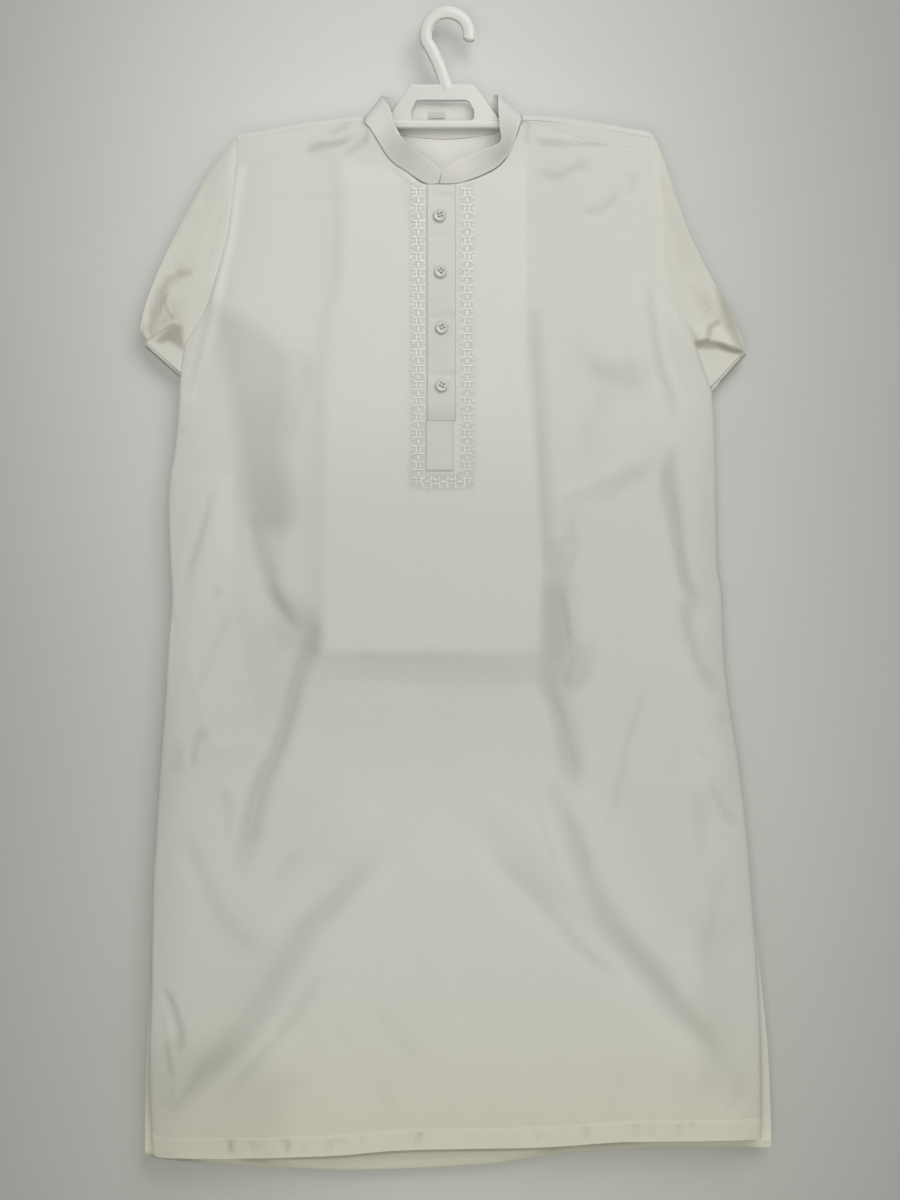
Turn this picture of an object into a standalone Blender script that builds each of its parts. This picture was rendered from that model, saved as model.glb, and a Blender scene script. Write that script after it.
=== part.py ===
"""A man's kameez on a one-piece plastic hanger, with its shalwar folded over the hanger's rail.

Lengths are in millimetres until a mesh is made. A place is (x, y, drop): x runs to the right, y towards the
wall behind, and drop runs down from the inner top of the hook, which is the origin.
"""
from collections import namedtuple
from math import cos, exp, hypot, pi, sin

import bmesh
import bpy
from mathutils import Vector

MM = 0.001
CLOTH = 1.2
COLLAR_CLOTH = 1.8
SEAM_GAP = 0.3

# Outline of the body: where its side edges lie at each drop. Below the slits the back is wider.
SLIT_DROP = 927
Body = namedtuple("Body", "drop left right back_left back_right")
BODY = (
    Body(119, -221.3, 212.8, -221.3, 212.8),
    Body(138, -222.2, 214.2, -222.2, 214.2),
    Body(191, -227.5, 219.5, -227.5, 219.5),
    Body(222, -231.7, 220.6, -231.7, 220.6),
    Body(254, -239.5, 221.8, -239.5, 221.8),
    Body(286, -249.0, 230.0, -249.0, 230.0),
    Body(307, -256.0, 241.5, -256.0, 241.5),
    Body(333, -271.0, 256.4, -271.0, 256.4),
    Body(344, -277.2, 261.7, -277.2, 261.7),
    Body(379, -282.4, 274.5, -282.4, 274.5),
    Body(394, -283.2, 279.7, -283.2, 279.7),
    Body(437, -286.3, 282.9, -286.3, 282.9),
    Body(508, -294.6, 284.8, -294.6, 284.8),
    Body(575, -293.0, 286.0, -293.0, 286.0),
    Body(608, -291.2, 290.6, -291.2, 290.6),
    Body(666, -295.1, 292.8, -295.1, 292.8),
    Body(719, -298.3, 298.0, -298.3, 298.0),
    Body(782, -303.6, 307.8, -303.6, 307.8),
    Body(860, -308.0, 316.7, -308.0, 316.7),
    Body(927, -311.5, 322.0, -311.5, 322.0),
    Body(1015, -311.5, 327.2, -314.0, 332.0),
    Body(1100, -314.0, 330.0, -318.6, 340.0),
    Body(1200, -310.0, 330.4, -320.5, 343.8),
)

# Depth of the outer face of the front and of the back, in the middle and at the side edges.
EDGE_ROLL = 55
Depth = namedtuple("Depth", "drop front front_edge back back_edge")
DEPTHS = (
    Depth(100, -8.4, -7.0, 8.4, 7.0),
    Depth(120, -9.0, -5.6, 8.8, 6.4),
    Depth(138, -9.5, -5.0, 9.6, 6.0),
    Depth(170, -9.8, -4.4, 10.7, 5.6),
    Depth(254, -9.8, -2.0, 11.0, 4.8),
    Depth(344, -9.5, 0.5, 11.0, 3.8),
    Depth(394, -9.5, 1.0, 11.0, 3.7),
    Depth(680, -9.5, 1.0, 11.0, 3.7),
    Depth(760, -9.5, 1.0, 9.5, 3.7),
    Depth(927, -9.5, 1.0, 9.0, 3.7),
    Depth(1015, -10.5, -3.0, 8.5, 5.0),
    Depth(1190, -13.0, -6.0, 8.0, 6.5),
)

# The folded shalwar that pushes the front out, and how far it does.
Strip = namedtuple("Strip", "drop left right")
SHALWAR = (
    Strip(160, -111.5, 83.6),
    Strip(272, -112.5, 83.6),
    Strip(330, -128.3, 84.0),
    Strip(404, -130.0, 89.9),
    Strip(558, -131.4, 100.4),
    Strip(674, -135.6, 98.3),
)
SHALWAR_TOP = 166
SHALWAR_BOTTOM = 671
SHALWAR_BULGE = 2.6
SHALWAR_EDGE = 9
SHALWAR_HEM_EDGE = 16
SHALWAR_FRONT_END = 662
SHALWAR_BACK_END = 650
SHALWAR_LEAF = 5.0

# The largest folds of the front and the back, as soft troughs along lines of (x, drop) points.
Trough = namedtuple("Trough", "points width depth")
FRONT_FOLDS = (
    Trough(((-183, 520), (-189, 600), (-181, 640)), 13, 3.0),
    Trough(((-147, 620), (-144, 655), (-165, 718), (-197, 816), (-225, 921)), 15, 4.0),
    Trough(((97, 670), (113, 718), (129, 764), (132, 813)), 13, 4.0),
    Trough(((105, 805), (129, 858), (147, 918)), 14, 3.0),
    Trough(((241, 440), (232, 480), (244, 564), (262, 620), (258, 658), (290, 715)), 14, 3.5),
    Trough(((-36, 850), (-116, 921), (-170, 1012), (-303, 1176)), 20, 4.0),
    Trough(((-5, 822), (52, 876), (97, 921), (206, 1012), (295, 1106)), 18, 4.0),
    Trough(((157, 516), (206, 477)), 14, 2.0),
)
BACK_FOLDS = (
    Trough(((-200, 620), (-150, 760), (-170, 930)), 20, 3.0),
    Trough(((150, 560), (190, 700), (180, 860)), 20, 3.0),
    Trough(((-40, 780), (-10, 950), (-30, 1100)), 22, 3.0),
    Trough(((230, 900), (160, 1020), (60, 1140)), 20, 3.0),
)

# Edges of the panels as (x, drop) points.
Edge = namedtuple("Edge", "x drop")
PANEL_TOP = (
    Edge(-224, 152.5), Edge(-179, 144.1), Edge(-153, 143.0), Edge(-107, 132.0), Edge(-94, 118.5),
    Edge(-88.4, 113.0), Edge(-80, 120.0), Edge(-73.8, 130.8), Edge(-60, 151.8), Edge(-43, 164.4),
    Edge(-22, 177.6), Edge(-10, 177.6), Edge(2, 177.6), Edge(24, 173.6), Edge(46, 164.4),
    Edge(60, 153.0), Edge(72, 128.5), Edge(79.1, 113.2), Edge(88.1, 113.4),
    Edge(114, 121.0), Edge(171, 136.7), Edge(216, 140.2),
)
FRONT_HEM = (
    Edge(-311, 1194.0), Edge(-305, 1199.0), Edge(-253, 1199.3), Edge(-145, 1197.2), Edge(-33, 1189.8),
    Edge(89, 1187.7), Edge(197, 1181.4), Edge(330, 1180.4),
)
BACK_HEM = (
    Edge(-320, 1203.0), Edge(-256, 1210.0), Edge(-100, 1217.0), Edge(42, 1211.0), Edge(137, 1198.5),
    Edge(255, 1193.2), Edge(344, 1193.2),
)
SHOULDER_RIDGE = (Edge(-224, 121.5), Edge(-88, 102.5), Edge(80, 101.0), Edge(219, 119.4))
BACK_NECK = (Edge(-88, 111.0), Edge(-60, 119.5), Edge(-2, 125.5), Edge(55, 118.5), Edge(79, 109.5))
NECK_LEFT = -88.4
NECK_RIGHT = 79.1
RIDGE_RADIUS = 8.0
BACK_YOKE_SEAM = 205.0

# Upper arms: the outer edge that goes with each place down the armhole seam.
Arm = namedtuple("Arm", "seam_drop edge_x edge_drop")
LEFT_ARM = (
    Arm(123, -228.5, 129.5), Arm(128, -236.0, 139.0), Arm(138, -247.8, 153.3), Arm(165, -268.5, 190.5),
    Arm(190, -288.0, 227.3), Arm(222, -302.0, 257.0), Arm(254, -312.0, 280.0), Arm(286, -319.5, 300.5),
    Arm(318, -323.5, 315.0), Arm(346, -325.6, 327.0), Arm(373.3, -319.1, 340.2),
)
RIGHT_ARM = (
    Arm(121, 218.0, 124.5), Arm(127, 221.5, 131.0), Arm(138, 225.5, 139.5), Arm(165, 235.0, 166.5),
    Arm(190, 243.5, 192.0), Arm(222, 254.5, 222.0), Arm(254, 268.0, 251.0), Arm(286, 284.0, 281.0),
    Arm(318, 299.0, 307.0), Arm(346, 308.5, 328.0), Arm(373.3, 314.2, 342.0), Arm(388.6, 314.9, 349.1),
)
ARM_LEVELS = (190, 222, 254, 286, 318, 346, 373.3, 388.6)
FRONT_LEVELS = ARM_LEVELS + (420, 452, 484, 516, 548, 578, 608, 636, 663, 679, 709, 743, 777, 811, 845, 879,
                             913, 947, 981, 1015, 1049, 1083, 1117, 1151)
BACK_LEVELS = ARM_LEVELS[1:] + (430, 472, 514, 556, 598, 640, 682, 724, 766, 808, 850, 892, 934, 976, 1018,
                                1060, 1102, 1144, 1175)
ARM_EDGE_FRONT = 2.6
ARM_EDGE_BACK = 6.0

# Forearms, folded back at the elbow along a straight line and lying behind the back.
Forearm = namedtuple("Forearm", "corner fold_direction axis inward length lift lift_from")
LEFT_FOREARM = Forearm((-322.0, 343.5), (0.747, 0.665), (0.840, -0.542), (0.665, -0.747), 358, 4.6, -150)
RIGHT_FOREARM = Forearm((318.1, 352.1), (-0.678, 0.735), (-0.934, -0.357), (-0.735, -0.678), 348, 0.0, 0)
ELBOW_WIDTH = 190.0
CUFF_WIDTH = 145.0
BEND = 4.0
BEND_INNER = 0.6
FOREARM_NEAR = 3.4
FOREARM_FAR = 6.6

# Placket, pocket, label and buttons.
PLACKET_LEFT = -21.3
PLACKET_RIGHT = 9.1
PLACKET_TOP = 178.2
PLACKET_STEP = 425.4
PLACKET_BOTTOM = 478.1
BUTTON_PLACES = (Edge(-7.6, 210.0), Edge(-6.6, 268.6), Edge(-5.5, 327.3), Edge(-5.5, 388.1))
BUTTON_RADIUS = 5.8
BUTTON_HEIGHT = 2.2
Pocket = namedtuple("Pocket", "drop left right")
POCKET = (
    Pocket(478.7, -283.0, -226.5), Pocket(550, -285.5, -226.5), Pocket(616.5, -282.5, -226.5),
    Pocket(660, -274.0, -217.0), Pocket(720, -259.0, -206.6), Pocket(768, -247.0, -197.0),
)
LABEL_LEFT, LABEL_RIGHT, LABEL_TOP, LABEL_BOTTOM = -19.4, -2.4, 97.0, 103.4

# Collar band, from its right end at the throat, round the neck, to its left end.
Stand = namedtuple("Stand", "seam_x seam_drop seam_y top_x top_drop top_y")
COLLAR = (
    Stand(-8.2, 176.6, -12.4, -4.4, 162.4, -16.2),
    Stand(10.0, 176.2, -12.4, 12.3, 153.0, -17.5),
    Stand(23.8, 172.3, -12.3, 24.5, 147.3, -17.8),
    Stand(45.9, 162.9, -12.0, 38.5, 141.0, -17.5),
    Stand(57.0, 154.6, -11.6, 50.5, 136.5, -16.8),
    Stand(66.0, 142.6, -11.2, 56.4, 130.5, -15.4),
    Stand(73.2, 124.0, -10.2, 54.5, 114.0, -13.0),
    Stand(77.2, 109.5, -8.0, 53.4, 92.0, -9.4),
    Stand(78.2, 102.0, 0.0, 53.8, 81.0, -2.8),
    Stand(74.5, 108.0, 7.4, 50.0, 79.4, 4.6),
    Stand(55.0, 118.1, 8.6, 37.5, 84.5, 6.8),
    Stand(-2.0, 125.1, 9.0, -2.4, 90.0, 7.8),
    Stand(-60.0, 119.1, 8.6, -45.0, 86.0, 6.8),
    Stand(-83.5, 109.5, 7.4, -65.0, 80.6, 4.6),
    Stand(-87.3, 103.5, 0.0, -69.0, 81.8, -2.8),
    Stand(-86.0, 111.2, -8.0, -65.0, 89.0, -9.4),
    Stand(-80.5, 118.5, -9.6, -59.5, 98.5, -12.0),
    Stand(-73.8, 129.6, -10.6, -55.8, 112.5, -14.4),
    Stand(-60.1, 150.6, -11.6, -46.4, 130.3, -16.6),
    Stand(-43.3, 163.1, -12.0, -29.6, 145.0, -17.6),
    Stand(-22.3, 176.2, -12.3, -14.5, 156.2, -17.5),
    Stand(-9.2, 176.6, -12.4, -5.6, 162.4, -16.2),
)

# Hanger.
HOOK_INNER = 16.5
HOOK_WIDTH = 13.0
HOOK_DEPTH = 8.0
STEM_FOOT = (0.2, 76.0)
PLATE_OUTER = ((-38.5, 69.9), (27.4, 69.9), (55.5, 107.0), (55.5, 112.5), (-64.0, 112.5), (-64.0, 107.0))
PLATE_INNER = ((-33.0, 86.0), (22.5, 86.0), (28.5, 97.5), (28.5, 108.0), (-38.0, 108.0), (-38.0, 97.5))
PLATE_DEPTH = 7.0
ARM_SECTION = (9.0, 10.0)
ARM_LINE = ((-206, 127.2), (-150, 118.8), (-88, 113.8), (-52, 112.1), (0, 112.1), (50, 112.1), (80, 113.2),
            (150, 118.0), (202, 125.0))
RAIL_DROP = 171.0
RAIL_RADIUS = 4.0
RAIL_ENDS = (-196, 192)

# Finishes: base colour and roughness. None of them is metal.
Finish = namedtuple("Finish", "colour roughness")
COTTON = Finish((0.62, 0.61, 0.54, 1), 0.85)
PLASTIC = Finish((0.66, 0.67, 0.65, 1), 0.3)
PEARL = Finish((0.60, 0.60, 0.58, 1), 0.35)


def clamp(value, low=0.0, high=1.0):
    return max(low, min(high, value))


def mix(a, b, t):
    return a + (b - a) * t


def smooth(t):
    t = clamp(t)
    return t * t * (3 - 2 * t)


def lookup(table, key, column):
    """A column of a short table at a key between its rows, as a smooth curve that doesn't overshoot."""
    keys = [row[0] for row in table]
    values = [getattr(row, column) for row in table]
    if key <= keys[0]:
        return values[0]
    if key >= keys[-1]:
        return values[-1]
    i = max(k for k in range(len(keys) - 1) if keys[k] <= key)
    slopes = [(values[k + 1] - values[k]) / (keys[k + 1] - keys[k]) for k in range(len(keys) - 1)]

    def tangent(k):
        if k == 0 or k == len(keys) - 1:
            return slopes[0] if k == 0 else slopes[-1]
        before, after = slopes[k - 1], slopes[k]
        if before * after <= 0:
            return 0.0
        return 2 * before * after / (before + after)

    span = keys[i + 1] - keys[i]
    t = (key - keys[i]) / span
    start, end = tangent(i) * span, tangent(i + 1) * span
    rise = values[i + 1] - values[i]
    return values[i] + t * (start + t * (3 * rise - 2 * start - end + t * (start + end - 2 * rise)))


def along(points, x, drop):
    """Distance of a place to a line of points, and how far along the line its nearest point lies, 0 to 1."""
    lengths = [hypot(b[0] - a[0], b[1] - a[1]) for a, b in zip(points, points[1:])]
    best, best_at, run = 1e9, 0.0, 0.0
    for (ax, ad), (bx, bd), length in zip(points, points[1:], lengths):
        t = clamp(((x - ax) * (bx - ax) + (drop - ad) * (bd - ad)) / length ** 2)
        distance = hypot(x - mix(ax, bx, t), drop - mix(ad, bd, t))
        if distance < best:
            best, best_at = distance, run + t * length
        run += length
    return best, best_at / run


def fold_depth(folds, x, drop):
    """How far the folds draw the cloth in at a place."""
    total = 0.0
    for fold in folds:
        distance, t = along(fold.points, x, drop)
        if distance < 3 * fold.width:
            total += fold.depth * exp(-(distance / fold.width) ** 2) * smooth(min(t, 1 - t) * 4 + 0.15)
    return total


def side_edges(drop, back=False):
    prefix = "back_" if back else ""
    return lookup(BODY, drop, prefix + "left"), lookup(BODY, drop, prefix + "right")


def roll(x, drop, back=False):
    """0 at a side edge of the body, rising to 1 where its roll ends."""
    left, right = side_edges(drop, back)
    return 1 - (1 - clamp(min(x - left, right - x) / EDGE_ROLL)) ** 2


def over_shalwar(x, drop):
    """1 where the front lies over the folded shalwar, falling to 0 just outside its edges."""
    left, right = lookup(SHALWAR, drop, "left"), lookup(SHALWAR, drop, "right")
    across = smooth((x - left) / SHALWAR_EDGE + 0.5) * smooth((right - x) / SHALWAR_EDGE + 0.5)
    top, hem = (drop - SHALWAR_TOP) / 20, (SHALWAR_BOTTOM - drop) / SHALWAR_HEM_EDGE
    return across * smooth(top + 0.5) * smooth(hem + 0.5)


def front_y(x, drop):
    """Depth of the outer face of the front."""
    middle, edge = lookup(DEPTHS, drop, "front"), lookup(DEPTHS, drop, "front_edge")
    over = over_shalwar(x, drop)
    drawn = fold_depth(FRONT_FOLDS, x, drop) * (1 - 0.9 * over)
    return mix(edge, middle - SHALWAR_BULGE * over + drawn, roll(x, drop))


def back_y(x, drop):
    """Depth of the outer face of the back."""
    middle, edge = lookup(DEPTHS, drop, "back"), lookup(DEPTHS, drop, "back_edge")
    return mix(edge, middle - fold_depth(BACK_FOLDS, x, drop), roll(x, drop, back=True))


def distance(a, b):
    return (Vector(a) - Vector(b)).length


def material(name, finish):
    made = bpy.data.materials.new(name)
    made.use_nodes = True
    shader = made.node_tree.nodes["Principled BSDF"]
    shader.inputs["Base Color"].default_value = finish.colour
    shader.inputs["Roughness"].default_value = finish.roughness
    shader.inputs["Metallic"].default_value = 0.0
    return made


def add_object(name, vertices, faces, finish):
    mesh = bpy.data.meshes.new(name)
    mesh.from_pydata([(x * MM, y * MM, -drop * MM) for x, y, drop in vertices], [], faces)
    mesh.materials.append(material(name, finish))
    mesh.validate()
    made = bpy.data.objects.new(name, mesh)
    bpy.context.scene.collection.objects.link(made)
    mesh.shade_smooth()
    mesh.set_sharp_from_angle(angle=pi / 5)
    return made


def grid_normals(grid, closed):
    rows, columns = len(grid), len(grid[0])
    points = [[Vector((x, y, -drop)) for x, y, drop in row] for row in grid]

    def step(r, c):
        if closed:
            across = points[r][(c + 1) % columns] - points[r][c - 1]
        else:
            across = points[r][min(c + 1, columns - 1)] - points[r][max(c - 1, 0)]
        down = points[min(r + 1, rows - 1)][c] - points[max(r - 1, 0)][c]
        return down.cross(across).normalized()

    return [[step(r, c) for c in range(columns)] for r in range(rows)]


def wall(name, grid, thickness, finish=COTTON, closed=False, keep=None, inside=None):
    """A cloth wall: rows of outer points, its inner points one thickness in, and a rim round its edges.

    The rows run down and the columns to the right, seen from outside. A closed wall joins its last column
    to its first. keep(row, column) says which cells are cloth, and inside gives the inner points as a grid.
    """
    rows, columns = len(grid), len(grid[0])
    normals = grid_normals(grid, closed)
    outer, inner = [], []
    for r in range(rows):
        for c in range(columns):
            x, y, drop = grid[r][c]
            deep = thickness(r, c) if callable(thickness) else thickness
            normal = normals[r][c].copy()
            if not closed and c in (0, columns - 1):
                normal.x = 0
            if not closed and r in (0, rows - 1):
                normal.z = 0
            normal.normalize()
            outer.append((x, y, drop))
            inner.append(inside[r][c] if inside else
                         (x - normal.x * deep, y - normal.y * deep, drop + normal.z * deep))
    cells = []
    for r in range(rows - 1):
        for c in range(columns if closed else columns - 1):
            if keep is None or keep(r, c):
                after = (c + 1) % columns
                row, below = r * columns, (r + 1) * columns
                quad = (row + c, below + c, below + after, row + after)
                a, b, d, e = quad
                if distance(outer[a], outer[d]) > distance(outer[b], outer[e]):
                    cells += [(a, b, e), (b, d, e)]
                else:
                    cells += [(a, b, d), (a, d, e)]
    edges = {(face[i], face[(i + 1) % 3]) for face in cells for i in range(3)}
    total = rows * columns
    faces = list(cells)
    faces += [tuple(total + v for v in reversed(face)) for face in cells]
    faces += [(b, a, total + a, total + b) for a, b in sorted(edges) if (b, a) not in edges]
    used = sorted({v for face in faces for v in face})
    place = {v: i for i, v in enumerate(used)}
    vertices = outer + inner
    return add_object(name, [vertices[v] for v in used], [tuple(place[v] for v in f) for f in faces], finish)


def loft(name, rings, finish):
    """A closed solid through rings of points, capped at both ends."""
    count = len(rings[0])
    vertices = [point for ring in rings for point in ring]
    faces = []
    for r in range(len(rings) - 1):
        for c in range(count):
            after = (c + 1) % count
            faces.append((r * count + c, r * count + after, (r + 1) * count + after, (r + 1) * count + c))
    faces.append(tuple(reversed(range(count))))
    faces.append(tuple((len(rings) - 1) * count + c for c in range(count)))
    made = add_object(name, vertices, faces, finish)
    turn_outwards(made)
    return made


def turn_outwards(made):
    shape = bmesh.new()
    shape.from_mesh(made.data)
    bmesh.ops.recalc_face_normals(shape, faces=shape.faces)
    shape.to_mesh(made.data)
    shape.free()


def across_panel(inner, drop, back=False):
    """Places across a panel: those near the middle, and shares of the way out to each side edge."""
    left, right = side_edges(drop, back)
    left, right = left + SEAM_GAP / 2, right - SEAM_GAP / 2
    outward = (0.3, 0.55, 0.75, 0.9, 1.0)
    xs = [mix(inner[0], left, share) for share in reversed(outward)]
    return xs + list(inner) + [mix(inner[-1], right, share) for share in outward]


def front_columns(drop):
    """Places across the front, with a pair of columns on each edge of the shalwar under it."""
    left, right = lookup(SHALWAR, drop, "left"), lookup(SHALWAR, drop, "right")
    half = SHALWAR_EDGE / 2
    inner = (left - half, left + half, min(-94, left + half + 14), NECK_LEFT, -80, -66, -52, -36,
             PLACKET_LEFT, -6, PLACKET_RIGHT, 24, 40, 54, 66, 73, right - half, right + half)
    return across_panel(inner, drop)


def front_top_columns():
    drops = [lookup(PANEL_TOP, x, "drop") for x in front_columns(150)]
    return [front_columns(drop)[c] for c, drop in enumerate(drops)]


def front_panel():
    grid = []
    for share in (0.0, 0.16, 0.4, 0.7):
        row = []
        for c, seam_x in enumerate(front_top_columns()):
            drop = mix(lookup(PANEL_TOP, seam_x, "drop"), ARM_LEVELS[0], share)
            x = front_columns(drop)[c]
            row.append((x, front_y(x, drop), drop))
        grid.append(row)
    for drop in FRONT_LEVELS:
        grid.append([(x, front_y(x, drop), drop) for x in front_columns(drop)])
    for share in (0.35, 1.0):
        row = []
        for x in front_columns(mix(FRONT_LEVELS[-1], 1188, share)):
            drop = mix(FRONT_LEVELS[-1], lookup(FRONT_HEM, x, "drop"), share)
            row.append((x, front_y(x, drop), drop))
        grid.append(row)
    hem_row = len(grid) - 2
    wall("front_panel", grid, lambda r, c: CLOTH * 1.8 if r >= hem_row else CLOTH)


def back_panel():
    inner = (-140, -100, -60, -20, 20, 60, 100, 140)
    grid = []
    for drop in (BACK_YOKE_SEAM + SEAM_GAP,) + BACK_LEVELS:
        grid.append([(x, back_y(x, drop), drop) for x in reversed(across_panel(inner, drop, back=True))])
    row = []
    for x in reversed(across_panel(inner, 1195, back=True)):
        drop = lookup(BACK_HEM, x, "drop")
        row.append((x, back_y(x, drop), drop))
    grid.append(row)
    last = len(grid) - 1
    wall("back_panel", grid, lambda r, c: CLOTH * 1.8 if r == last else CLOTH)


def yoke_point(x, row_share, part):
    """A place on the yoke: its front, its turn over the shoulder, or its back."""
    ridge = lookup(SHOULDER_RIDGE, x, "drop")
    if part == "front":
        seam = lookup(PANEL_TOP, x, "drop") - SEAM_GAP
        drop = mix(seam, ridge + RIDGE_RADIUS, row_share)
        return x, front_y(x, drop), drop
    if part == "back":
        top = ridge + RIDGE_RADIUS
        if NECK_LEFT < x < NECK_RIGHT:
            top = lookup(BACK_NECK, x, "drop")
        drop = mix(top, BACK_YOKE_SEAM, row_share)
        return x, back_y(x, drop), drop
    front, back = front_y(x, ridge + RIDGE_RADIUS), back_y(x, ridge + RIDGE_RADIUS)
    angle = pi * row_share
    middle, half = (front + back) / 2, (back - front) / 2
    return x, middle - half * cos(angle), ridge + RIDGE_RADIUS * (1 - sin(angle))


def yoke():
    rows = [("front", 0.0), ("front", 0.5), ("front", 1.0), ("turn", 0.25), ("turn", 0.5), ("turn", 0.75),
            ("back", 0.0), ("back", 0.25), ("back", 0.6), ("back", 1.0)]
    neck_row = 6
    xs = [x for x in front_top_columns() if x <= NECK_LEFT or x >= NECK_RIGHT - 0.01]
    first_neck = sum(x <= NECK_LEFT for x in xs) - 1
    neck_columns = (-60, -30, -2, 26, 54)
    xs[first_neck + 1:first_neck + 1] = neck_columns
    last_neck = first_neck + len(neck_columns)
    grid = []
    for part, share in rows:
        row = []
        for x in xs:
            drop = yoke_point(x, share, part)[2]
            left, right = side_edges(drop)
            outward = smooth((abs(x) - 150) / 50)
            edge = left + SEAM_GAP / 2 - xs[0] if x < 0 else right - SEAM_GAP / 2 - xs[-1]
            row.append(yoke_point(x + edge * outward, share, part))
        grid.append(row)
    # The rows run from the front seam up and over, so the columns are turned to keep the outside out.
    grid = [list(reversed(row)) for row in grid]
    count = len(xs)

    def keep(r, c):
        return r >= neck_row or not first_neck <= count - 2 - c <= last_neck

    wall("shoulder_yoke", grid, CLOTH, keep=keep)


def upper_arm(name, arms, side):
    """One layer of the sleeve from the front of the armhole to its outer edge, and back to the armhole."""
    shares = (0.0, 0.35, 0.7, 0.93)
    grid = []
    for k, arm in enumerate(arms):
        seam_x = lookup(BODY, arm.seam_drop, "left" if side < 0 else "right") + side * SEAM_GAP / 2
        seam_drop = arm.seam_drop
        front, back = front_y(seam_x, seam_drop), back_y(seam_x, seam_drop)
        if k == 0:
            front, back = front * 0.55, back * 0.55
        sink = smooth(k / (len(arms) - 1))
        edge_front = ARM_EDGE_FRONT * sink - 1.2 * (1 - sink)
        edge_back = edge_front + ARM_EDGE_BACK - ARM_EDGE_FRONT

        def place(share, seam_y, edge_y):
            return (mix(seam_x, arm.edge_x, share), mix(seam_y, edge_y, smooth(share)),
                    mix(seam_drop, arm.edge_drop, share))

        fore = [place(share, front, edge_front) for share in shares]
        aft = [place(share, back, edge_back) for share in shares]
        tip = place(1.0, 0, (edge_front + edge_back) / 2)
        ring = fore + [tip] + list(reversed(aft))
        grid.append(ring if side > 0 else list(reversed(ring)))
    wall(name, grid, CLOTH)


def skin_y(x, drop):
    """Outer face of the back, carried on level past its side edges."""
    left, right = side_edges(drop)
    return back_y(clamp(x, left, right), drop)


def forearm(name, arm, side):
    """The folded-back part of a sleeve: a flat tube from the elbow's fold to the cuff."""
    cx, cd = arm.corner
    fx, fd = arm.fold_direction
    ax, ad = arm.axis
    nx, nd = arm.inward
    seam_at = 52.0
    cuff_top = (cx + nx * BEND + ax * arm.length, cd + nd * BEND + ad * arm.length)
    down = (-ad, ax) if side < 0 else (ad, -ax)

    def lift(x):
        return arm.lift * smooth((x - arm.lift_from) / 45) if arm.lift else 0.0

    def flat(share_across, share_along, far, deep):
        at_elbow, at_cuff = ELBOW_WIDTH * share_across, CUFF_WIDTH * share_across
        start = (cx + fx * at_elbow + nx * BEND, cd + fd * at_elbow + nd * BEND)
        end = (cuff_top[0] + down[0] * at_cuff, cuff_top[1] + down[1] * at_cuff)
        x, drop = mix(start[0], end[0], share_along), mix(start[1], end[1], share_along)
        level = FOREARM_FAR - deep if far else FOREARM_NEAR + deep
        return x, skin_y(x, drop) + level + lift(x), drop

    def bent(share_across, angle, far, deep):
        """A place on the elbow's turn: the far layer goes round outside the near one."""
        x, y_after, drop = flat(share_across, 0.0, far, 0.0)
        reach = ELBOW_WIDTH * share_across
        out_of_sight = smooth((reach - (seam_at - 18)) / 11)
        down_arm = clamp(reach / seam_at)
        skin = skin_y(x, drop)
        if far:
            y_before = mix(mix(ARM_EDGE_FRONT, 1.4, down_arm), skin + 0.5, out_of_sight)
            radius = BEND - deep
            half = (y_after - y_before) / 2 - deep
        else:
            y_before = mix(mix(ARM_EDGE_BACK, 4.2, down_arm), skin + 3.2, out_of_sight)
            radius = BEND_INNER + deep
            half = (y_after - y_before) / 2 + deep
        out = radius * sin(angle)
        return x - nx * out, (y_after + y_before) / 2 - half * cos(angle), drop - nd * out

    def ring(share_along, angle, deep):
        if angle is None:
            far = [flat(share, share_along, True, deep) for share in across]
            near = [flat(share, share_along, False, deep) for share in reversed(across)]
        else:
            far = [bent(share, angle, True, deep) for share in across]
            near = [bent(share, angle, False, deep) for share in reversed(across)]
        turn = 1.9 - deep
        ox, od = mix(fx, down[0], share_along) * turn, mix(fd, down[1], share_along) * turn
        low = tuple((a + b) / 2 + add for a, b, add in zip(far[-1], near[0], (ox, 0, od)))
        high = tuple((a + b) / 2 - add for a, b, add in zip(near[-1], far[0], (ox, 0, od)))
        points = far + [low] + near + [high]
        return points if side < 0 else list(reversed(points))

    across = (0.02, 0.12, 0.24, 0.34, 0.55, 0.78, 0.98)
    places = [(0.0, pi * k / 4) for k in range(5)]
    places += [(share, None) for share in (0.12, 0.26, 0.4, 0.54, 0.66, 0.78, 0.9, 1.0)]
    grid = [ring(share_along, angle, 0.0) for share_along, angle in places]
    inside = [ring(share_along, angle, CLOTH) for share_along, angle in places]
    wall(name, grid, CLOTH, closed=True, inside=inside)


def collar():
    grid = []
    for share in (0.0, 0.5, 1.0):
        row = []
        for k, stand in enumerate(COLLAR):
            bulge = 0.6 * sin(pi * share)
            x = mix(stand.top_x, stand.seam_x, share)
            drop = mix(stand.top_drop, stand.seam_drop, share)
            y = mix(stand.top_y, stand.seam_y, share)
            row.append((x, y - bulge if y < -6 else y + bulge * (y > 4), drop))
        grid.append(row)
    wall("collar_band", grid, COLLAR_CLOTH)


def placket_y(x, drop, layer):
    return front_y(x, drop) - layer * (CLOTH + SEAM_GAP)


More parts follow.
